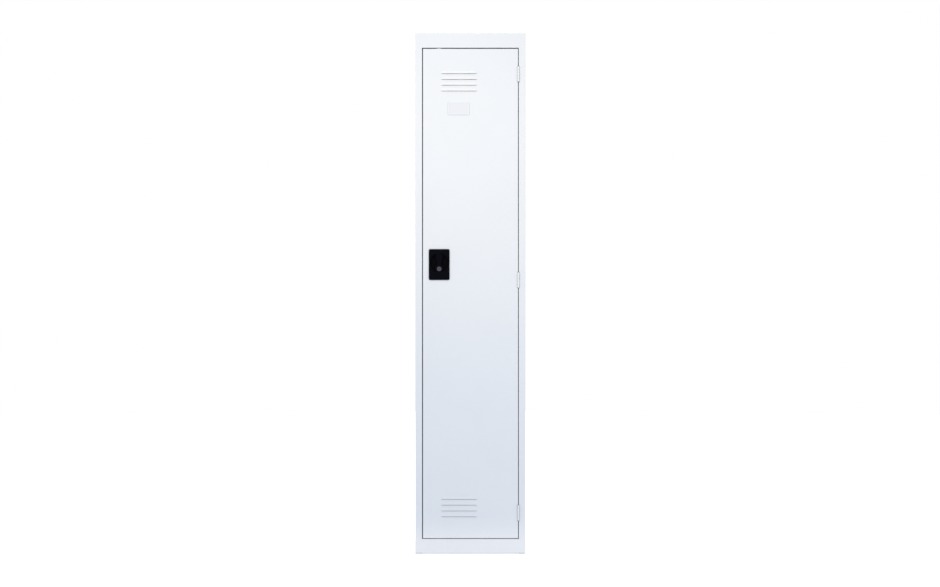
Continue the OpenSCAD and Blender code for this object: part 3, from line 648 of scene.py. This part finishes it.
def base_panel():
    """Raised floor with an apron at the front and flanges at the sides and the back."""
    bm = bmesh.new()
    apron = bend([(STOP_FACE, OPEN_LOW - RETURN_H), (STOP_FACE, FLOOR_Z), (STOP_Y + 2 * FOLD_OUT, FLOOR_Z)])
    strip(bm, apron, [-OPEN_X, OPEN_X], across)
    rear = BACK - 2 * SHEET
    floor_y = [STOP_Y + 2 * FOLD_OUT, rear - FOLD_OUT]
    floor = bend([(-INNER_X, FLOOR_Z - FLANGE), (-INNER_X, FLOOR_Z), (INNER_X, FLOOR_Z),
                  (INNER_X, FLOOR_Z - FLANGE)])
    middle = len(floor) // 2
    floor[middle:middle] = [Vector((-OPEN_X, FLOOR_Z)), Vector((OPEN_X, FLOOR_Z))]
    strip(bm, floor, floor_y, lambda p, y: (p[0], y, p[1]))
    drop = bend([(rear - FOLD_OUT, FLOOR_Z), (rear, FLOOR_Z), (rear, FLOOR_Z - FLANGE)])
    strip(bm, drop[1:], [-OPEN_X, OPEN_X], across)
    notch = ((-HALF_W, STOP_X), (STOP_FACE - SHEET, STOP_Y), (OPEN_LOW, FLOOR_Z + MM))
    make("base_panel_sheet", bm, "base_panel", "powder_coat", facing=(0, 0, 1), cuts=[notch])


BEAD_X = 95 * MM
BEAD_HALF = 20 * MM
BEAD_END = 120 * MM
BEAD_DEPTH = 4 * MM
BEAD_FLANK = 7 * MM


def back_panel():
    """Back sheet with two long pressed beads."""
    bm = bmesh.new()
    face = BACK - SHEET
    edge = INNER_X - FOLD_IN
    outline = [(edge, 0), (edge, TOP - SHEET), (-edge, TOP - SHEET), (-edge, 0)]
    holes = [circle(x, z, SCREW_HOLE, 32) for x in (-BACK_SCREW_X, BACK_SCREW_X) for z in BACK_SCREWS_Z]
    wall = mount("wall_fixing_holes")
    apart, radius = wall["dims"]["spacing_x_mm"] * MM, wall["dims"]["hole_r_mm"] * MM
    holes += [circle(x, wall["pos_m"][2], radius) for x in (-apart / 2, apart / 2)]

    def bead_loop(x, inset):
        half, end = BEAD_HALF - inset, BEAD_END + inset
        return round_box(x - half, x + half, end, TOP - end, half, 12)

    fill(bm, [outline] + holes + [bead_loop(x, 0) for x in (-BEAD_X, BEAD_X)], lambda p: (p[0], face, p[1]))
    steps = 8
    for x in (-BEAD_X, BEAD_X):
        rings = []
        for i in range(steps + 1):
            depth = BEAD_DEPTH * (1 - math.cos(math.pi * i / steps)) / 2
            rings.append([(u, face - depth, v) for u, v in bead_loop(x, BEAD_FLANK * i / steps)])
        loft(bm, rings, cap_first=False)
    make("back_panel_sheet", bm, "back_panel", "powder_coat", facing=(0, 1, 0))


def hat_shelf():
    """Shelf with a folded front edge and flanges at the sides and the back."""
    bm = bmesh.new()
    low, high = SHELF
    apron = high.z - 20 * MM
    tail = high.z - 14 * MM
    edge = INNER_X - FOLD_OUT
    front = bend([(low.y + 14 * MM, apron), (low.y, apron), (low.y, high.z), (low.y + 20 * MM, high.z)])
    strip(bm, front, [-edge, edge], across)
    rear = bend([(high.y - 20 * MM, high.z), (high.y, high.z), (high.y, tail)])
    strip(bm, rear, [-edge, edge], across)
    plate = bend([(-INNER_X, tail), (-INNER_X, high.z), (INNER_X, high.z), (INNER_X, tail)])
    strip(bm, plate, [low.y + 20 * MM, high.y - 20 * MM], lambda p, y: (p[0], y, p[1]))
    make("hat_shelf_sheet", bm, "hat_shelf", "powder_coat", facing=(0, 0, 1))


def buffers():
    """Rubber pads on the stop lip, with domed faces towards the door."""
    bm = bmesh.new()
    low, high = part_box("door_buffers")
    radius = (high.x - low.x) / 2
    x = (high.x + low.x) / 2
    edge = 0.35 * MM
    rim = [(radius - edge * (1 - math.cos(a)), low.y + edge * (1 - math.sin(a)))
           for a in (0, 0.5, 1.0, math.pi / 2)]
    for z in (low.z + radius, TOP / 2, high.z - radius):
        turned(bm, [(radius, high.y)] + rim, lambda p, y, z=z: (x + p[0], y, z + p[1]), 32)
    make("door_buffer_pads", bm, "door_buffers", "buffer_rubber")


def screw(bm, place, shank_r, shank, head_r, head):
    """A pan-head screw with a cross recess; place puts (across, along, across) points, head towards minus."""
    flat, side = 0.62, 0.35
    dome = [(head_r * (flat + (1 - flat) * math.cos(a)), -head * (side + (1 - side) * math.sin(a)))
            for a in (math.pi / 2 * i / 5 for i in range(6))]
    rings = [[place(x, along, z) for x, z in circle(0, 0, radius, 24)] for radius, along in
             [(shank_r * 0.85, shank), (shank_r, shank - 0.3 * MM), (shank_r, 0), (head_r, 0)] + dome]
    loft(bm, rings, cap_last=False)
    arm, half = head_r * 0.46, head_r * 0.11
    cross = []
    for c, s in ((1, 0), (0, 1), (-1, 0), (0, -1)):
        for u, v in ((arm, -half), (arm, half), (half, half)):
            cross.append((u * c - v * s, u * s + v * c))
    top = circle(0, 0, head_r * flat, 24)
    fill(bm, [top, cross], lambda p: place(p[0], -head, p[1]))
    loft(bm, [[place(u * k, -head * d, v * k) for u, v in cross] for k, d in ((1, 1), (0.7, 0.35))],
         cap_first=False)


def side_screws(name, node, spots, head_x, shank_r, head_r, head):
    """Screws through both sides, with their heads inside."""
    bm = bmesh.new()
    for s in (-1, 1):
        for y, z in spots:
            place = lambda a, along, b, s=s, y=y, z=z: (s * (head_x + along), y + a, z + b)
            screw(bm, place, shank_r, HALF_W - SCREW_SHORT - head_x, head_r, head)
    make(name, bm, node, "zinc_plate")


def cabinet_screws():
    """The screws that hold the roof, floor, shelf, rail and back to the sides."""
    under = INNER_X - SHEET
    roof_and_floor = [(y, z) for y in SCREWS_Y for z in (ROOF_SCREW_Z, FLOOR_SCREW_Z)]
    size = (2.4 * MM, 4.5 * MM, 2.4 * MM)
    side_screws("panel_screw_set", "panel_screws", roof_and_floor, under, *size)
    side_screws("shelf_screw_set", "shelf_screws", [(y, SHELF_SCREW_Z) for y in SHELF_SCREWS_Y], under, *size)
    side_screws("rail_screw_set", "rail_screws", [(y, RAIL_Z) for y in RAIL_SCREWS_Y],
                INNER_X - 2.5 * MM, 1.75 * MM, 3.2 * MM, 1.6 * MM)
    bm = bmesh.new()
    head_y = BACK - 2 * SHEET
    for x in (-BACK_SCREW_X, BACK_SCREW_X):
        for z in BACK_SCREWS_Z:
            place = lambda a, along, b, x=x, z=z: (x + a, head_y + along, z + b)
            screw(bm, place, size[0], BACK - SCREW_SHORT - head_y, size[1], size[2])
    make("back_screw_set", bm, "back_screws", "zinc_plate")


# -------- hinges
def hinge_leaf(node, s, first):
    """A leaf rolled round the pin. Its knuckles are every second one, counted from the bottom."""
    bm = bmesh.new()
    low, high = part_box(node)
    step = (high.z - low.z + KNUCKLE_GAP) / KNUCKLES
    middle = BORE_R + LEAF / 2
    roll, count = math.radians(285), 30
    curl = [(HINGE_X + s * middle * math.cos(roll * i / count), HINGE_Y - middle * math.sin(roll * i / count))
            for i in range(count + 1)]
    bend_y = HINGE_Y + NOTCH
    curl = [(HINGE_X + s * middle, bend_y)] + curl
    levels = [low.z]
    for i in range(1, KNUCKLES):
        levels += [low.z + i * step - KNUCKLE_GAP, low.z + i * step]
    levels.append(high.z)
    for i in range(first, KNUCKLES, 2):
        strip(bm, curl, levels[2 * i:2 * i + 2], lambda p, z: (p[0], p[1], z))
    plate = [(HINGE_X + s * middle, high.y), (HINGE_X + s * middle, bend_y)]
    strip(bm, plate, levels, lambda p, z: (p[0], p[1], z))
    make(node + "_rolled", bm, node, "hinge_coat", facing=(s, 0, 0), thickness=LEAF, offset=0,
         bevel=0.12 * MM)


def hinge_pin(node):
    """Pin with a domed head at both ends."""
    low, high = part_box(node)
    head = high.x - HINGE_X
    cap = 0.8 * MM
    bm = bmesh.new()
    dome = [(head, 0.0), (head, 0.35), (head * 0.86, 0.75), (head * 0.5, 0.95), (0, 1.0)]
    profile = [(r, low.z + cap * (1 - d)) for r, d in reversed(dome)]
    profile += [(PIN_R, low.z + cap), (PIN_R, high.z - cap)]
    profile += [(r, high.z - cap * (1 - d)) for r, d in dome]
    turned(bm, profile, lambda p, z: (HINGE_X + p[0], HINGE_Y + p[1], z), 32)
    make(node + "_rod", bm, node, "hinge_coat")


def hinges():
    for where in HINGES:
        hinge_leaf("frame_hinge_leaf_" + where, 1, 0)
        hinge_leaf("door_hinge_leaf_" + where, -1, 1)
        hinge_pin("hinge_pin_" + where)


# -------- door
LOUVRE_X = -39 * MM
LOUVRE_HALF = 62 * MM
LOUVRE_H = 10 * MM
LOUVRE_SLIT = MM
LOUVRE_TAPER = 9 * MM
LOUVRE_Z = [z * MM + i * 20 * MM for z in (1600, 128) for i in range(4)]
LOUVRE_COLUMNS = 44
LOUVRE_ROWS = 8

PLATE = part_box("lock_housing")
PLATE_Z = (PLATE[0].z + PLATE[1].z) / 2
DISH_R = 31.8 * MM
DISH_Y = FRONT + 10 * MM
TUB_R = DISH_R + 1.8 * MM
BOSSES_Z = [PLATE_Z + 46.5 * MM, PLATE_Z - 43 * MM]


def louvre_columns():
    """Places along a louvre, closer together where its ends taper, each with the height left there."""
    columns = []
    for i in range(LOUVRE_COLUMNS + 1):
        turn = math.pi * i / LOUVRE_COLUMNS
        u = -LOUVRE_HALF * math.cos(turn) * (1 - 0.12 * math.sin(turn) ** 2)
        past = max(abs(u) - (LOUVRE_HALF - LOUVRE_TAPER), 0) / LOUVRE_TAPER
        columns.append((LOUVRE_X + u, math.sqrt(max(1 - past * past, 0))))
    return columns


def louvre_outline(z):
    """The hole that a louvre leaves in the flat skin: its lower slit and the curve over its top."""
    columns = louvre_columns()
    return [(x, z) for x, _ in columns] + [(x, z + LOUVRE_H * k) for x, k in reversed(columns[1:-1])]


def louvre(bm, z):
    """The pressed hood above the slit at height z."""
    def place(column, row):
        x, left = column
        share = row / LOUVRE_ROWS
        rise = 1 - share * share * (3 - 2 * share)
        height = LOUVRE_SLIT + (LOUVRE_H - LOUVRE_SLIT) * share
        return (x, FRONT - LOUVRE_OUT * left * rise, z + height * left)
    strip(bm, louvre_columns(), range(LOUVRE_ROWS + 1), place)


def lock_hole():
    """The hole behind the handle plate: a circle with a slot above and below it for the bosses."""
    radius = TUB_R + 0.4 * MM
    half = 5 * MM
    miss = math.asin(half / radius)
    count = 20
    loop = []
    for side, end in ((1, PLATE_Z + 51.5 * MM), (-1, PLATE_Z - 48 * MM)):
        for i in range(count + 1):
            angle = -math.pi / 2 + miss + (math.pi - 2 * miss) * i / count
            loop.append((LOCK_X + side * radius * math.cos(angle), LOCK_Z + side * radius * math.sin(angle)))
        loop += [(LOCK_X + side * half, end), (LOCK_X - side * half, end)]
    return loop


def door_panel():
    """The door's pan: skin, round edges and back lip, with the louvres pressed out of the skin."""
    low, high = DOOR
    bm = bmesh.new()
    corner = 2 * MM
    lip = 12 * MM

    def loop(inset, y):
        radius = max(corner - inset, 0.3 * MM)
        points = round_box(low.x + inset, high.x - inset, low.z + inset, high.z - inset, radius, 4)
        return [(x, y, z) for x, z in points]

    rings = [loop(inset, FRONT + depth) for inset, depth in quarter(FOLD_OUT)]
    rings += [loop(depth, DOOR_BACK - inset) for inset, depth in quarter(FOLD_OUT)]
    rings.append(loop(lip, DOOR_BACK))
    loft(bm, rings, cap_first=False, cap_last=False)
    skin = [(x, z) for x, _, z in rings[0]]
    holes = [louvre_outline(z) for z in LOUVRE_Z] + [lock_hole()]
    fill(bm, [skin] + holes, lambda p: (p[0], FRONT, p[1]))
    for z in LOUVRE_Z:
        louvre(bm, z)
    cuts = hinge_notches(HINGE_X - NOTCH, high.x + MM)
    cuts += [rod_slot(z, 7 * MM, 2 * MM) for z in (low.z, high.z)]
    make("door_panel_sheet", bm, "door_panel", "powder_coat", facing=(0, -1, 0), cuts=cuts)


def card_holder():
    """A pressed frame, open at the top: back, walls and lips in one sheet."""
    low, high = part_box("card_holder")
    bm = bmesh.new()
    lip = 5 * MM
    radius = 1.5 * MM
    edge = 0.7 * MM
    corners = round_box(low.x, high.x, low.z, high.z + 5 * MM, radius, 5)
    half = len(corners) // 4
    foot = corners[3 * half:] + corners[:half]
    outer = [(low.x, high.z)] + foot + [(high.x, high.z)]

    def shrunk(inset):
        """The outline, drawn in at the sides and the foot."""
        middle = (low.x + high.x) / 2
        points = []
        for x, z in outer:
            inwards = inset if x < middle else -inset
            share_x = min(1, abs(x - middle) / (high.x - middle - radius))
            share_z = 0 if z == high.z else max(0, (low.z + radius - z) / radius) ** 0.5
            points.append((x + inwards * share_x, z + inset * share_z))
        return points

    rows = [[(x, low.y + depth, z) for x, z in shrunk(inset)] for inset, depth in quarter(edge, 4)]
    rows.append([(x, high.y, z) for x, z in outer])
    strip(bm, range(len(outer)), range(len(rows)), lambda i, row: rows[row][i])
    front = [(x, z) for x, _, z in rows[0]]
    left, right, sill = low.x + lip, high.x - lip, low.z + lip
    inner = [(right, high.z), (right, sill), (left, sill), (left, high.z)]
    fill(bm, [front + inner], lambda p: (p[0], low.y, p[1]))
    fill(bm, [outer], lambda p: (p[0], high.y, p[1]))
    make("card_holder_frame", bm, "card_holder", "powder_coat", facing=(0, 1, 0), thickness=0.5 * MM,
         finish="shaded_coat")


def name_card():
    """A blank card, slightly bowed."""
    low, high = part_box("name_card")
    bm = bmesh.new()
    columns = [low.x + (high.x - low.x) * i / 12 for i in range(13)]
    middle, half = (low.x + high.x) / 2, (high.x - low.x) / 2
    bow = 0.08 * MM
    place = lambda x, z: (x, low.y + bow * ((x - middle) / half) ** 2, z)
    strip(bm, columns, [low.z, high.z], place)
    make("name_card_blank", bm, "name_card", "card", facing=(0, -1, 0), thickness=0.22 * MM)


# -------- handle and lock
def behind(x, z):
    """Places a turned shape on a front-to-back axis at x, z; distances are behind the skin's face."""
    return lambda p, depth: (x + p[0], FRONT + depth, z + p[1])


def lock_housing():
    """Plate with a rounded rim, the dish that the handle turns in, and the tub and bosses behind."""
    bm = bmesh.new()
    low, high = PLATE
    out = FRONT - low.y
    corner = 4.5 * MM
    rim = 1.2 * MM
    lip = 0.9 * MM
    floor = DISH_Y - FRONT

    def plate(inset, depth):
        points = round_box(low.x + inset, high.x - inset, low.z + inset, high.z - inset, corner - inset, 8)
        return [(x, FRONT + depth, z) for x, z in points]

    def dish(radius, depth):
        return [(x, FRONT + depth, z) for x, z in circle(LOCK_X, LOCK_Z, radius, 96)]

    rings = [plate(inset, depth - out) for inset, depth in quarter(rim, 5)] + [plate(0, 0)]
    loft(bm, rings, cap_first=False, cap_last=False)
    root = 1.2 * MM
    opening = [dish(DISH_R + inset, depth - out) for inset, depth in quarter(lip, 5)]
    opening += [dish(DISH_R - depth, floor - inset) for inset, depth in quarter(root, 5)]
    loft(bm, opening, cap_first=False, cap_last=False)
    front = [(x, z) for x, _, z in rings[0]]
    mouth = [(x, z) for x, _, z in opening[0]]
    fill(bm, [front, mouth], lambda p: (p[0], FRONT - out, p[1]))
    bore, hub, hub_end = SPINDLE_R + 0.05 * MM, 10 * MM, 19.8 * MM
    tub_end = floor + 2.5 * MM
    back = [dish(TUB_R, 0), dish(TUB_R, tub_end - 0.8 * MM), dish(TUB_R - 0.8 * MM, tub_end)]
    back += [dish(hub, tub_end), dish(hub, hub_end - 0.5 * MM), dish(hub - 0.5 * MM, hub_end)]
    back += [dish(bore, hub_end), dish(bore, floor), dish(DISH_R - root, floor)]
    loft(bm, back, cap_first=False, cap_last=False)
    rear = [(x, z) for x, _, z in rings[-1]]
    tub = [(x, z) for x, _, z in back[0]]
    boss_r, screw_r, boss_end, chamfer = 4 * MM, 1.7 * MM, 9 * MM, 0.4 * MM
    fill(bm, [rear, tub] + [circle(LOCK_X, z, boss_r, 24) for z in BOSSES_Z], lambda p: (p[0], FRONT, p[1]))
    profile = [(boss_r, 0), (boss_r, boss_end - chamfer), (boss_r - chamfer, boss_end), (screw_r, boss_end),
               (screw_r, MM)]
    for z in BOSSES_Z:
        rings = [[behind(LOCK_X, z)(p, depth) for p in circle(0, 0, radius, 24)] for radius, depth in profile]
        loft(bm, rings, cap_first=False)

    # Windows for the bolt in the dish's wall: below, and on the left for the turned handle
    near, far, half = 28 * MM, 36 * MM, 4.6 * MM
    depths = (FRONT + 4.1 * MM, FRONT + 9.7 * MM)
    windows = [((LOCK_X - half, LOCK_X + half), depths, (LOCK_Z - far, LOCK_Z - near)),
               ((LOCK_X - far, LOCK_X - near), depths, (LOCK_Z - half, LOCK_Z + half))]
    make("lock_housing_moulding", bm, "lock_housing", "black_plastic", cuts=windows)


# Half widths of the grip at its top and waist, from the handle's axis, and the faces of grip and key cylinder
GRIP_TOP = 13.66 * MM
GRIP_WAIST = 6.8 * MM
WAIST_Z = -6 * MM
HANDLE_R = 31 * MM
GRIP_FRONT = -2 * MM
GRIP_BACK = 9.6 * MM
SPINDLE_R = 6 * MM
SPINDLE_END = 20.5 * MM
SQUARE_HALF = 4 * MM
SQUARE_END = 22.5 * MM
KEY_BOSS_R = 16 * MM
KEY_BODY_R = 7.2 * MM
KEY_BORE_R = 6 * MM
KEY_FACE = -3.4 * MM
KEY_BACK = 4.2 * MM
BOLT_GAP = 0.4 * MM
BOLT_SLOT = 4 * MM + BOLT_GAP
BOLT_STEP = -26.8 * MM


def neck(tip, waist, centre, radius, hollow):
    """The hollow arc that leads from the line between tip and waist into a circle."""
    along = (Vector(waist) - Vector(tip)).normalized()
    out = Vector((-along.y, along.x))
    offset = Vector(waist) + out * hollow - Vector(centre)
    b = offset.dot(along)
    step = -b - math.sqrt(b * b - offset.length_squared + (radius + hollow) ** 2)
    middle = Vector(centre) + offset + along * step
    end = (Vector(centre) - middle).normalized()
    return [middle + (-out).slerp(end, i / FOLD_STEPS).normalized() * hollow for i in range(FOLD_STEPS + 1)]


def handle_side():
    """The right half of the grip and the key boss, from the top round to the bottom. The last three points
    lie on the wall that the bolt comes out of: the edge of its slot, halfway, and the middle."""
    drop = LOCK_Z - KEY_Z
    point = lambda radius, angle, z=0: (radius * math.sin(angle), z + radius * math.cos(angle))
    top, steps = math.asin(GRIP_TOP / HANDLE_R), 8
    side = [point(HANDLE_R, top * i / steps) for i in range(steps + 1)]
    side += [tuple(p) for p in neck(side[-1], (GRIP_WAIST, WAIST_Z), (0, -drop), KEY_BOSS_R, 6 * MM)]
    start = math.atan2(side[-1][0], side[-1][1] + drop)
    meet = math.acos(-(HANDLE_R ** 2 - drop ** 2 - KEY_BOSS_R ** 2) / (2 * drop * KEY_BOSS_R))
    steps = 16
    side += [point(KEY_BOSS_R, start + (meet - start) * i / steps, -drop) for i in range(1, steps + 1)]
    end = math.atan2(side[-1][0], -side[-1][1])
    slot = math.asin(BOLT_SLOT / HANDLE_R)
    for angle in (end + (slot - end) / 3, end + (slot - end) * 2 / 3, slot, slot / 2, 0):
        side.append((HANDLE_R * math.sin(angle), -HANDLE_R * math.cos(angle)))
    return side


def turn_handle():
    """Grip and key boss with the bolt's pocket in the back, and the spindle with its square."""
    bm = bmesh.new()
    mirrored = lambda points: [(-x, z) for x, z in reversed(points)]
    place = lambda p, depth: (LOCK_X + p[0], FRONT + depth, LOCK_Z + p[1])
    in_front = lambda item: all(abs(v.co.y - FRONT - GRIP_FRONT) < 1e-6 for v in item.verts)
    side = handle_side()
    outline = side + mirrored(side[1:-1])
    floor = KEY_BACK + 0.1 * MM
    face = bm.faces.new([bm.verts.new(place(p, GRIP_FRONT)) for p in outline])
    moved = bmesh.ops.extrude_face_region(bm, geom=[face])["geom"]
    deep = [v for v in moved if isinstance(v, bmesh.types.BMVert)]
    bmesh.ops.translate(bm, vec=(0, floor - GRIP_FRONT, 0), verts=deep)
    bmesh.ops.delete(bm, geom=[f for f in moved if isinstance(f, bmesh.types.BMFace)], context="FACES_ONLY")
    rim = [e for e in bm.edges if in_front(e)]
    bmesh.ops.bevel(bm, geom=rim, offset=1.5 * MM, segments=5, profile=0.55, affect="EDGES",
                    clamp_overlap=False)

    # The key cylinder's bore, with a ledge behind it and a way through to the bolt
    cap = next(f for f in bm.faces if in_front(f))
    border = [(v.co.x - LOCK_X, v.co.z - LOCK_Z) for v in cap.verts]
    bmesh.ops.delete(bm, geom=[cap], context="FACES_ONLY")
    ledge = floor - 0.05 * MM
    bore, way = (circle(0, KEY_Z - LOCK_Z, radius, 64) for radius in (KEY_BODY_R + 0.05 * MM, 5.2 * MM))
    fill(bm, [border, bore], lambda p: place(p, GRIP_FRONT))
    rings = [(bore, GRIP_FRONT), (bore, ledge), (way, ledge), (way, floor)]
    loft(bm, [[place(p, depth) for p in ring] for ring, depth in rings], cap_first=False, cap_last=False)

    # The bolt's pocket, open to the back and through the wall below
    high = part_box("handle_bolt")[1]
    wide, top = high.x - LOCK_X + BOLT_GAP, high.z - LOCK_Z + BOLT_GAP
    pocket = [(BOLT_SLOT, BOLT_STEP), (wide, BOLT_STEP), (wide, top)]
    pocket += mirrored(pocket)
    walls = side[:-2] + pocket + mirrored(side[1:-2])
    loft(bm, [[place(p, depth) for p in walls] for depth in (floor, GRIP_BACK)], cap_first=False)
    fill(bm, [side[-3:] + mirrored(side[-3:-1]) + pocket[::-1], way], lambda p: place(p, floor))

    chamfer = 0.4 * MM
    spindle = [(SPINDLE_R, GRIP_BACK - 0.6 * MM), (SPINDLE_R, SPINDLE_END - chamfer)]
    turned(bm, spindle + [(SPINDLE_R - chamfer, SPINDLE_END)], behind(LOCK_X, LOCK_Z))
    corners = [(x * SQUARE_HALF, z * SQUARE_HALF) for x, z in ((1, -1), (1, 1), (-1, 1), (-1, -1))]
    loft(bm, [[place(p, depth) for p in corners] for depth in (SPINDLE_END - 0.5 * MM, SQUARE_END)])
    make("turn_handle_grip", bm, "turn_handle", "black_plastic")


def lock_barrel():
    """Bezel and body of the key cylinder, with a stepped and rounded bezel."""
    bm = bmesh.new()
    face, seat = KEY_FACE, GRIP_FRONT
    bezel, body, bore = 7.9 * MM, KEY_BODY_R, KEY_BORE_R
    chamfer = 0.3 * MM
    profile = [(bore, KEY_BACK), (body - chamfer, KEY_BACK), (body, KEY_BACK - chamfer)]
    profile += [(body, seat), (bezel, seat)]
    profile += [(bezel - 0.5 * MM * (1 - math.cos(a)), face + 0.5 * MM * (1 - math.sin(a)))
                for a in (0, 0.4, 0.8, 1.2, math.pi / 2)]
    profile += [(bore + 0.5 * MM, face), (bore + 0.15 * MM, face + 0.35 * MM), (bore, face + 0.4 * MM)]
    profile.append(profile[0])
    turned(bm, profile, behind(LOCK_X, KEY_Z), 64, caps=False)
    make("lock_barrel_bezel", bm, "lock_barrel", "lock_metal", angle=40)


def key_plug():
    """The turning plug, with its key slot, and the crank pin that throws the bolt."""
    bm = bmesh.new()
    place = behind(LOCK_X, KEY_Z)
    radius, face = KEY_BORE_R - 0.05 * MM, KEY_FACE
    chamfer = 0.3 * MM
    dished, dish_r = face + 0.6 * MM, 4 * MM
    rings = [(radius, KEY_BACK), (radius, face + chamfer), (radius - chamfer, face)]
    rings += [(dish_r + 0.5 * MM, face), (dish_r, dished)]
    loft(bm, [[place(p, depth) for p in circle(0, 0, r, 64)] for r, depth in rings], cap_last=False)
    slot = round_box(-3.6 * MM, 3.6 * MM, -0.9 * MM, 0.9 * MM, 0.3 * MM, 3)
    fill(bm, [circle(0, 0, dish_r, 64), slot], lambda p: place(p, dished))
    loft(bm, [[place(p, depth) for p in slot] for depth in (dished, face + 5 * MM)], cap_first=False)
    throw, pin_r, pin_end = 2 * MM, 1.2 * MM, 8.2 * MM
    chamfer = 0.2 * MM
    pin = [(pin_r, KEY_BACK), (pin_r, pin_end - chamfer), (pin_r - chamfer, pin_end)]
    turned(bm, pin, behind(LOCK_X + throw, KEY_Z + throw), 20)
    make("key_plug_turned", bm, "key_plug", "lock_metal")


def lock_screws():
    """The screws of the retainers and of the cam, seen from inside the door."""
    bm = bmesh.new()
    seat = FRONT + 10.2 * MM
    for z in BOSSES_Z:
        place = lambda a, along, b, z=z: (LOCK_X + a, seat - along, z + b)
        screw(bm, place, 1.6 * MM, 7.2 * MM, 3.4 * MM, 2.2 * MM)
    make("retainer_screw_set", bm, "retainer_screws", "zinc_plate")
    bm = bmesh.new()
    place = lambda a, along, b: (LOCK_X + a, FRONT + SQUARE_END - along, LOCK_Z + b)
    screw(bm, place, 2 * MM, 9.9 * MM, 4.2 * MM, 2.8 * MM)
    make("cam_screw_cross_head", bm, "cam_screw", "zinc_plate")


# -------- stage, camera, light
def stage():
    """A round pale floor that glows a little for the camera, so that it meets the backdrop unseen."""
    bm = bmesh.new()
    size = 9.0
    fill(bm, [circle(0, 0, size, 96)], lambda p: (p[0], p[1], 0))
    floor = new_object("studio_floor", bm)
    shader = Shader("studio_floor", (0.93, 0.93, 0.93), 0.7, specular=0.2)
    shader.set_color(shader.tint(shader.noise(1.5), (0.925, 0.925, 0.925), (0.935, 0.935, 0.935)))
    put(shader.surface, Emission_Color=(1, 1, 1, 1))
    seen = shader.add("ShaderNodeLightPath").outputs["Is Camera Ray"]
    shader.link(shader.ranged(seen, 0, 0.4, 0, 1), shader.surface.inputs["Emission Strength"])
    floor.data.materials.append(shader.material)


def area_light(name, place, target, size, power, color=(1, 1, 1)):
    """A rectangular lamp that the camera doesn't see, aimed at target."""
    data = bpy.data.lights.new(name, "AREA")
    data.shape = "RECTANGLE"
    data.size, data.size_y = size
    data.energy = power
    data.color = color
    lamp = bpy.data.objects.new(name, data)
    lamp.visible_camera = False
    bpy.context.scene.collection.objects.link(lamp)
    lamp.location = place
    lamp.rotation_mode = "QUATERNION"
    lamp.rotation_quaternion = (Vector(target) - Vector(place)).to_track_quat("-Z", "Y")
    return data


def studio():
    """White backdrop and even cool ambient light, a warm key light from the upper left, and two fills."""
    scene = bpy.context.scene
    scene.view_settings.view_transform = "Standard"
    world = bpy.data.worlds.new("studio")
    scene.world = world
    world.use_nodes = True
    nodes, links = world.node_tree.nodes, world.node_tree.links
    nodes.clear()
    out = nodes.new("ShaderNodeOutputWorld")
    ambient = put(nodes.new("ShaderNodeBackground"), Color=(0.84, 0.89, 0.97, 1), Strength=0.99)
    backdrop = put(nodes.new("ShaderNodeBackground"), Color=(1, 1, 1, 1), Strength=1.0)
    path = nodes.new("ShaderNodeLightPath")
    mix = nodes.new("ShaderNodeMixShader")
    links.new(path.outputs["Is Camera Ray"], mix.inputs["Fac"])
    links.new(ambient.outputs["Background"], mix.inputs[1])
    links.new(backdrop.outputs["Background"], mix.inputs[2])
    links.new(mix.outputs["Shader"], out.inputs["Surface"])
    key = area_light("key_light", (-0.9, -2.6, 2.9), (0, -0.2, 1.4), (1.2, 1.0), 1.9, (1, 0.82, 0.56))
    key.spread = math.radians(36)
    area_light("back_light", (1.5, 4.0, 3.0), (0, 0, 1.0), (2.0, 1.6), 14, (1, 0.95, 0.9))
    fill = area_light("floor_fill", (0, -0.55, 0.04), (0, FRONT, 0), (1.0, 0.04), 0.055, (1, 0.8, 0.66))
    fill.spread = math.radians(46)


def camera():
    """Straight at the front from far off, level with the middle of the cabinet."""
    data = bpy.data.cameras.new("camera")
    data.lens = 85
    data.sensor_width = 36
    frame_width = 3.2507
    distance = frame_width * data.lens / data.sensor_width
    data.clip_end = 60
    eye = bpy.data.objects.new("camera", data)
    bpy.context.scene.collection.objects.link(eye)
    eye.location = (-1.4 * MM, FRONT - distance, TOP / 2)
    eye.rotation_euler = (math.pi / 2, 0, 0)
    bpy.context.scene.camera = eye


# -------- build
side_panel(-1, "left_side_sheet", "left_side_panel", True)
side_panel(1, "right_side_sheet", "right_side_panel", False)
top_panel()
head_stop()
kick_plate()
base_panel()
back_panel()
hat_shelf()
buffers()
cabinet_screws()
hinges()
door_panel()
card_holder()
name_card()
lock_housing()
turn_handle()
lock_barrel()
key_plug()
lock_screws()
keep("coat_rail", "rail_chrome", 0.2 * MM)
keep("rail_sockets", "black_plastic", 0.4 * MM)
keep("door_stiffener", "powder_coat", 0.1 * MM, finish="shaded_coat")
keep("lock_retainers", "zinc_plate", 0.15 * MM)
keep("rod_guides", "black_plastic", 0.4 * MM)
keep("lock_cam", "zinc_plate", 0.2 * MM)
keep("handle_bolt", "zinc_plate", 0.2 * MM)
keep("upper_lock_rod", "zinc_plate", 0.2 * MM, finish="rod_zinc")
keep("lower_lock_rod", "zinc_plate", 0.2 * MM, finish="rod_zinc")
stage()
studio()
camera()
